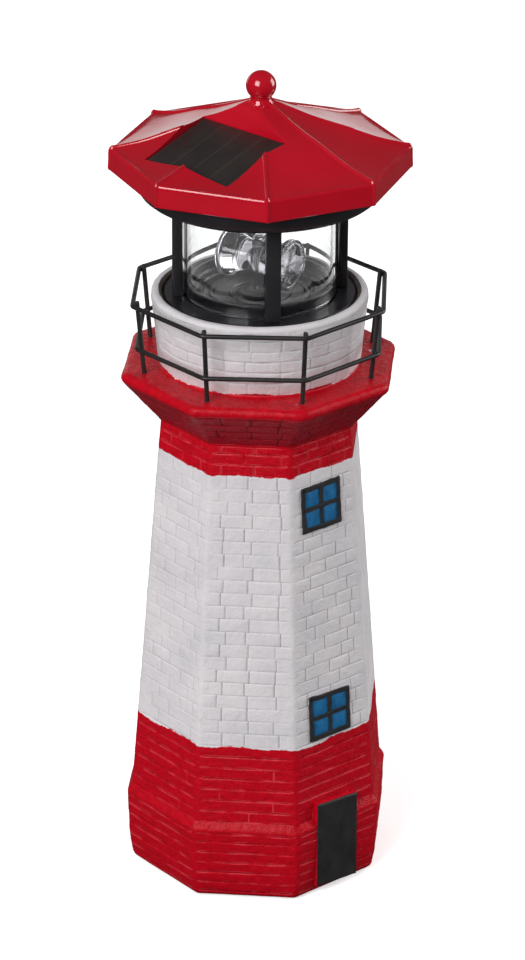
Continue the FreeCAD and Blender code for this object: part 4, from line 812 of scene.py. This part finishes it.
# lens: two clear bells on a hub, each closed by a ridged lens
turn = Matrix.Translation((0, 0, 283.0)) @ Matrix.Rotation(math.radians(105.4), 4, "Z") @ Matrix.Rotation(math.radians(90), 4, "Y")
outer = [(6.0, 0.0), (6.05, 1.0), (6.2, 2.5), (6.5, 4.2), (7.0, 6.2), (7.6, 8.4), (8.3, 10.6), (8.9, 12.3), (9.4, 13.4), (10.7, 13.55), (11.0, 13.75), (11.0, 14.3), (10.45, 14.5), (10.4, 14.8), (10.9, 15.0), (11.0, 15.2), (11.0, 15.7), (10.6, 15.85),
         (9.5, 15.9), (9.2, 15.7), (8.6, 15.95), (6.5, 16.25), (4.0, 16.5), (2.0, 16.58), (0, 16.6)]
whole = [(r, -x) for r, x in reversed(outer)] + [(r, x) for r, x in outer[1:]]
v, f = turned(whole, 96, closed=False, matrix=turn)
hub = [(0, 270.5), (3.4, 270.5), (3.4, 279.0), (3.4, 287.0), (3.4, 291.0), (3.0, 292.3), (2.2, 292.9), (0.9, 293.0), (0, 292.8)]
bore = [(0, 270.0), (2.62, 270.0), (2.62, 277.0), (2.15, 277.0), (2.15, 287.4), (1.2, 288.2), (0, 288.4)]
LENS_PARTS = (v, f), turned(hub, 64, closed=False), turned(bore, 64, closed=False)

# ---------------------------------------------------------------- roof
ROOF_TURN = 7.5
LINE = [(4.6, 353.2), (5.6, 352.6), (12.0, 349.8), (22.0, 345.5), (34.0, 341.3), (42.0, 338.2), (48.0, 336.0), (53.0, 334.6), (58.0, 333.5), (61.6, 332.7), (62.5, 332.45), (63.0, 332.0), (63.2, 331.3), (63.45, 327.2), (63.65, 323.9), (63.6, 323.1), (63.2, 322.7)]


def roof_section(s):
    """The roof's corner line at s from 0 to 1 along the list above."""
    i = min(int(s), len(LINE) - 2)
    f = s - i
    p = [LINE[max(i - 1, 0)], LINE[i], LINE[i + 1], LINE[min(i + 2, len(LINE) - 1)]]
    out = []
    for a, b, c, d in zip(*p):
        out.append(0.5 * (2 * b + (c - a) * f + (2 * a - 5 * b + 4 * c - d) * f * f + (3 * b - a - 3 * c + d) * f ** 3))
    return out if i < 9 else [LINE[i][0] + (LINE[i + 1][0] - LINE[i][0]) * f, LINE[i][1] + (LINE[i + 1][1] - LINE[i][1]) * f]


def roof_shell_mesh():
    stations = []
    for i in range(len(LINE) - 1):
        n = [1, 4, 6, 6, 4, 3, 3, 3, 2, 2, 1, 1, 3, 2, 1, 1][i]
        stations += [i + k / n for k in range(n)]
    stations.append(len(LINE) - 1 - 1e-6)
    rib = [0.0, 0.30, 0.55, 0.78, 1.0, 1.35, 1.9]
    verts, faces = [], []
    for s in stations:
        R, z = roof_section(s)
        h, ap = R * S22, R * C22
        limit = h * 0.96
        e_list = [min(e, limit * e / 1.9 * 0.9) if h < 2.4 else e for e in rib]
        for k in range(8):
            a = math.radians(ROOF_TURN + 22.5 + 45 * k)
            n, t = Vector((math.cos(a), math.sin(a), 0)), Vector((-math.sin(a), math.cos(a), 0))
            xs = [-(h - e) for e in e_list] + [(-1 + 2 * q / 10) * (h - e_list[-1]) for q in range(1, 10)] + [h - e for e in reversed(e_list[1:])]
            for x in xs:
                e = h - abs(x)
                on_top = smooth(13.2, 11.6, s)
                rise = 0.82 * math.sqrt(max(0.0, 1 - (e / 0.95) ** 2)) if e < 0.95 else 0.0
                rise *= 0.55 + 0.45 * smooth(2.0, 6.0, s)
                rise += 0.12 * smooth(2.2, 0.9, e)
                if s > 8.2:
                    rise *= 1.0 + 0.35 * smooth(8.2, 9.6, s) * on_top
                sag = 0.75 * smooth(1.0, 4.0, s) * smooth(10.2, 8.0, s) * (1 - (x / h) ** 2)
                p = n * ap + t * x
                zz = z - sag
                if s <= 12:
                    zz += rise * (1.0 if s < 10 else smooth(12.6, 10.0, s))
                if s > 9.8:
                    w = smooth(9.8, 12.0, s) * smooth(16.2, 14.2, s)
                    d = (n * ap + t * (h if x > 0 else -h)).normalized()
                    p = p + d * (rise * 0.55 * w)
                verts.append((p.x, p.y, zz))
    m = len(verts) // len(stations)
    for i in range(len(stations) - 1):
        a, b = i * m, (i + 1) * m
        faces += [(a + k, b + k, b + (k + 1) % m, a + (k + 1) % m) for k in range(m)]
    faces.append(tuple(range(m)))
    last = (len(stations) - 1) * m
    faces.append(tuple(reversed(range(last, last + m))))
    return verts, faces


def raw_object(name, verts, faces):
    me = bpy.data.meshes.new(name)
    me.from_pydata([(x * MM, y * MM, z * MM) for x, y, z in verts], [], faces)
    bm = bmesh.new()
    bm.from_mesh(me)
    bmesh.ops.recalc_face_normals(bm, faces=bm.faces)
    bm.to_mesh(me)
    bm.free()
    ob = bpy.data.objects.new(name, me)
    bpy.context.scene.collection.objects.link(ob)
    return ob


def boolean(target, tool, op):
    mod = target.modifiers.new("b", "BOOLEAN")
    mod.operation = op
    mod.solver = "EXACT"
    mod.object = tool
    bpy.context.view_layer.update()
    dep = bpy.context.evaluated_depsgraph_get()
    me = bpy.data.meshes.new_from_object(target.evaluated_get(dep))
    target.modifiers.clear()
    old = target.data
    target.data = me
    bpy.data.meshes.remove(old)


def box_mesh(lx, ly, lz, matrix):
    c = [(sx * lx / 2, sy * ly / 2, sz * lz / 2) for sx in (-1, 1) for sy in (-1, 1) for sz in (-1, 1)]
    faces = [(0, 1, 3, 2), (4, 6, 7, 5), (0, 4, 5, 1), (2, 3, 7, 6), (0, 2, 6, 4), (1, 5, 7, 3)]
    return [tuple(matrix @ Vector(p)) for p in c], faces


lens = raw_object("lens_clear", *LENS_PARTS[0])
hub_tool, bore_tool = raw_object("hub_tool", *LENS_PARTS[1]), raw_object("bore_tool", *LENS_PARTS[2])
boolean(lens, hub_tool, "UNION")
boolean(lens, bore_tool, "DIFFERENCE")
for o in (hub_tool, bore_tool):
    me = o.data
    bpy.data.objects.remove(o)
    bpy.data.meshes.remove(me)
lens.data.materials.clear()
lens.data.materials.append(M_LENS)
for face in lens.data.polygons:
    face.material_index = 0
sharp(lens, 40)
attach(lens, "beacon")
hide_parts("beacon_optic")

PB = math.radians(-82.5)
slope_m = Matrix.Rotation(PB - math.radians(90), 4, "Z") @ Matrix.Rotation(math.radians(15.5), 4, "Y")
glass = Vector((27.8 * math.sin(PB), -27.8 * math.cos(PB), 337.5))
panel_m = Matrix.Translation(glass) @ slope_m
roof = raw_object("roof_red", *roof_shell_mesh())
levels = [(61.3, 321.5), (60.9, 329.5), (56.7, 331.5), (48.0, 333.4), (34.0, 338.9), (22.0, 343.1), (6.0, 349.3)]
iv = []
for R, z in levels:
    iv += [(R * math.cos(math.radians(ROOF_TURN + 45 * k)), R * math.sin(math.radians(ROOF_TURN + 45 * k)), z) for k in range(8)]
jf = [(i * 8 + k, i * 8 + (k + 1) % 8, (i + 1) * 8 + (k + 1) % 8, (i + 1) * 8 + k) for i in range(len(levels) - 1) for k in range(8)]
jf += [tuple(reversed(range(8))), tuple(range(48, 56))]
cavity = raw_object("cavity_tool", iv, jf)
tray = raw_object("tray_tool", *box_mesh(36.5 + 4.2, 46.2 + 4.2, 20.0, panel_m @ Matrix.Translation((0, 0, 10.0 - 4.2))))
boolean(cavity, tray, "DIFFERENCE")
# above the panel's upper edge the pocket has a leaning wall
lean_m = panel_m @ Matrix.Translation((-18.55, 0, -0.4)) @ Matrix.Rotation(math.radians(-36), 4, "Y")
tray_lean = raw_object("tray_lean_tool", *box_mesh(13.8, 50.4, 17.0, lean_m @ Matrix.Translation((5.1, 0, 5.5))))
boolean(cavity, tray_lean, "DIFFERENCE")
boolean(roof, cavity, "DIFFERENCE")
pocket = raw_object("pocket_tool", *box_mesh(37.1, 46.8, 20.0, panel_m @ Matrix.Translation((0, 0, 10.0 - 2.62))))
boolean(roof, pocket, "DIFFERENCE")
pocket_lean = raw_object("pocket_lean_tool", *box_mesh(12.0, 46.8, 14.0, lean_m @ Matrix.Translation((6.0, 0, 7.0))))
boolean(roof, pocket_lean, "DIFFERENCE")
for o in (cavity, tray, tray_lean, pocket, pocket_lean):
    me = o.data
    bpy.data.objects.remove(o)
    bpy.data.meshes.remove(me)
roof.data.materials.clear()
roof.data.materials.append(M_ROOF)
bm = bmesh.new()
bm.from_mesh(roof.data)
for face in bm.faces:
    face.material_index = 0
bmesh.ops.recalc_face_normals(bm, faces=bm.faces)
bm.to_mesh(roof.data)
bm.free()
sharp(roof, 38)
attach(roof, "lantern")
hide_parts("roof_shell")

# screw posts inside the roof
parts = []
for k in range(3):
    b = math.radians(-82.5 + 120 * k)
    top = 331.2 if k == 0 else 336.6
    m = Matrix.Translation((38 * math.sin(b), -38 * math.cos(b), 0))
    parts.append(turned([(1.05, 317.0), (2.8, 317.0), (3.0, 317.3), (3.0, top), (0, top), (0, 326.2), (1.05, 326.2)], 32, matrix=m))
v, f = merged(*parts)
piece("roof_posts", v, f, [M_ROOF], "lantern", "roof_shell", flat=40)

# ball with its parting line and a neck that flares out at its root
r, ball_z = 6.4, 359.75
profile = [(0, 346.6), (1.8, 346.6), (1.8, 352.2), (5.5, 352.3), (5.2, 353.0), (4.8, 353.7), (4.55, 354.4), (4.55, 355.0)]
for k in range(26):
    a = math.radians(-42 + 132 * k / 25)
    profile.append((r * math.cos(a) if k < 25 else 0, ball_z + r * math.sin(a)))
profile = [p for p in profile if not (p[1] > 357.6 and p[1] < 359.0 and p[0] > 5)]
extra = [(math.sqrt(r * r - (z - ball_z) ** 2) + dr, z) for z, dr in ((357.7, 0), (358.1, 0), (358.22, 0.0), (358.27, -0.10), (358.37, -0.10), (358.42, 0.0), (358.55, 0), (358.95, 0))]
low = [p for p in profile if p[1] <= 357.6 or p[0] < 5 and p[1] < 357.6]
high = [p for p in profile if p[1] >= 359.0]
v, f = turned(low + extra + high, 72, closed=False)
piece("ball_red", v, f, [M_ROOF], "lantern", "finial_ball", flat=60)


# ---------------------------------------------------------------- solar panel
def panel_material():
    n = Net("solar_cells")
    inv = (Matrix.Rotation(-math.radians(15.5), 4, "Y") @ Matrix.Rotation(-(PB - math.radians(90)), 4, "Z"))
    rows_ = [inv[i][:3] for i in range(2)]
    off = inv @ glass

    def dot(row, shift):
        d = n.n("ShaderNodeVectorMath")
        d.operation = "DOT_PRODUCT"
        n.link(n.mm, d.inputs[0])
        d.inputs[1].default_value = row
        return n.math("SUBTRACT", d.outputs["Value"], shift)

    u, w = dot(rows_[0], off.x), dot(rows_[1], off.y)
    # strips across the width, with a thin pale line between them
    strip = n.math("MULTIPLY", n.math("ADD", w, 22.0), 1 / 11.0)
    frac = n.math("ABSOLUTE", n.math("SUBTRACT", n.math("FRACT", strip), 0.5))
    gap = n.span(frac, 0.487, 0.497)
    inside = n.math("MULTIPLY", n.span(n.math("ABSOLUTE", w), 22.1, 21.9), n.span(n.math("ABSOLUTE", u), 17.2, 17.0), clamp=True)
    fine = n.math("ABSOLUTE", n.math("SUBTRACT", n.math("FRACT", n.math("MULTIPLY", u, 0.8)), 0.5))
    finger = n.math("MULTIPLY", n.span(fine, 0.46, 0.5), 0.05)
    cloud = n.span(n.noise(0.08, 3.0), 0.3, 0.7)
    base = n.mix(cloud, (0.034, 0.028, 0.026), (0.026, 0.021, 0.020))
    line = n.math("MULTIPLY", gap, inside)
    col = n.mix(n.math("MULTIPLY", line, 0.34), base, (0.22, 0.19, 0.16))
    col = n.mix(finger, col, (0.3, 0.26, 0.22))
    rough = n.span(n.noise(0.4, 3.0), 0.3, 0.7, 0.30, 0.42)
    return n.done(col, rough, n.bump(n.noise(0.7, 3.0), 0.12, 0.05), Specular_IOR_Level=0.35)


M_PANEL = panel_material()
v, f = soft_box(36.5, 46.2, 2.6, 0.25, panel_m @ Matrix.Translation((0, 0, -1.3)), steps=2)
piece("panel_dark", v, f, [M_PANEL], "lantern", "solar_panel", flat=40)

# ---------------------------------------------------------------- CAD pieces that keep their shape
KEEP = {
    "foot_pads": M_PAD, "lantern_plate": M_FLOOR, "spindle_bush": M_STEM, "post_screws": M_STEEL, "roof_screws": M_STEEL, "solar_lead": M_LEAD,
    "idler_shaft": M_STEEL, "motor_can": M_STEEL, "motor_screws": M_STEEL, "motor_lead": M_LEAD, "gearbox_plate": M_BLACK, "gearbox_screws": M_STEEL,
    "led_stem": M_STEM, "led_lamp": M_LAMP, "led_lead": M_LEAD, "circuit_board": M_BOARD, "board_parts": M_BLACK, "drive_cup": M_BLACK, "cup_screws": M_STEEL,
    "cover_pin": M_STEEL, "battery_cell": M_CELL, "battery_contacts": M_STEEL, "switch_body": M_BLACK, "switch_slider": M_NYLON, "battery_cover": M_BLACK,
    "spindle_gear": M_STEM, "idler_gear": M_NYLON, "motor_pinion": M_NYLON, "motor_shaft": M_STEEL,
}
for name, material in KEEP.items():
    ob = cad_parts[name]
    if not ob.material_slots:
        ob.data.materials.append(material)
    for slot in ob.material_slots:
        slot.material = material

# ---------------------------------------------------------------- floor, light and camera
me = bpy.data.meshes.new("studio_floor")
me.from_pydata([(-6, -6, -0.0002), (6, -6, -0.0002), (6, 6, -0.0002), (-6, 6, -0.0002)], [], [(0, 1, 2, 3)])
floor = bpy.data.objects.new("studio_floor", me)
bpy.context.scene.collection.objects.link(floor)
fm = bpy.data.materials.new("pale_floor")
fm.use_nodes = True
fb = fm.node_tree.nodes["Principled BSDF"]
fb.inputs["Roughness"].default_value = 0.9
fb.inputs["Specular IOR Level"].default_value = 0.0
fb.inputs["Emission Color"].default_value = (1, 1, 1, 1)


def by_ray(tree, seen, diffuse, glossy):
    """A number that differs for what is seen, directly or through the clear parts, for diffuse light and for reflections."""
    path = tree.nodes.new("ShaderNodeLightPath")

    def op(kind, a, b):
        n = tree.nodes.new("ShaderNodeMath")
        n.operation = kind
        for value, socket in ((a, n.inputs[0]), (b, n.inputs[1])):
            if isinstance(value, float):
                socket.default_value = value
            else:
                tree.links.new(value, socket)
        return n.outputs[0]

    direct = op("MAXIMUM", path.outputs["Is Camera Ray"], path.outputs["Is Transmission Ray"])
    shine = op("MULTIPLY", path.outputs["Is Glossy Ray"], op("SUBTRACT", 1.0, direct))
    return op("ADD", op("ADD", diffuse + 0.0, op("MULTIPLY", direct, seen - diffuse)), op("MULTIPLY", shine, glossy - diffuse))


tone = by_ray(fm.node_tree, 0.90, 0.26, 0.06)
grey = fm.node_tree.nodes.new("ShaderNodeCombineColor")
for socket in grey.inputs[:3]:
    fm.node_tree.links.new(tone, socket)
fm.node_tree.links.new(grey.outputs[0], fb.inputs["Base Color"])
fm.node_tree.links.new(by_ray(fm.node_tree, 0.55, 0.0, 0.0), fb.inputs["Emission Strength"])
me.materials.append(fm)

world = bpy.data.worlds.new("studio")
bpy.context.scene.world = world
world.use_nodes = True
world.node_tree.nodes["Background"].inputs["Color"].default_value = (1, 1, 1, 1)
world.node_tree.links.new(by_ray(world.node_tree, 1.0, 0.34, 0.06), world.node_tree.nodes["Background"].inputs["Strength"])


def area(name, place, target, size_x, size_y, power):
    light = bpy.data.lights.new(name, "AREA")
    light.shape = "RECTANGLE"
    light.size, light.size_y, light.energy = size_x, size_y, power
    ob = bpy.data.objects.new(name, light)
    bpy.context.scene.collection.objects.link(ob)
    ob.location = place
    ob.rotation_euler = (Vector(target) - Vector(place)).to_track_quat("-Z", "Y").to_euler()
    return ob


area("key_left", (-1.64, -0.50, 1.20), (0, 0, 0.16), 1.1, 1.1, 31.0)
area("fill_right", (1.45, -0.60, 0.60), (0, 0, 0.15), 0.9, 0.9, 14.0)
area("card_back", (0.82, 1.50, 0.36), (0, 0, 0.34), 2.3, 0.7, 4.2)

cam_data = bpy.data.cameras.new("camera")
cam = bpy.data.objects.new("camera", cam_data)
bpy.context.scene.collection.objects.link(cam)
right, up, back = (0.766286, -0.642469, 0.006177), (0.265709, 0.32564, 0.90739), (-0.584982, -0.69368, 0.420244)
cam.matrix_world = Matrix((
    (right[0], up[0], back[0], -1.0306), (right[1], up[1], back[1], -1.2247), (right[2], up[2], back[2], 0.9201), (0, 0, 0, 1),
))
cam_data.sensor_width = 36.0
cam_data.lens = 4059.35 * 36.0 / 960.0
cam_data.clip_start, cam_data.clip_end = 0.05, 50.0
bpy.context.scene.camera = cam
bpy.context.scene.view_settings.view_transform = "Standard"


bpy.context.view_layer.update()
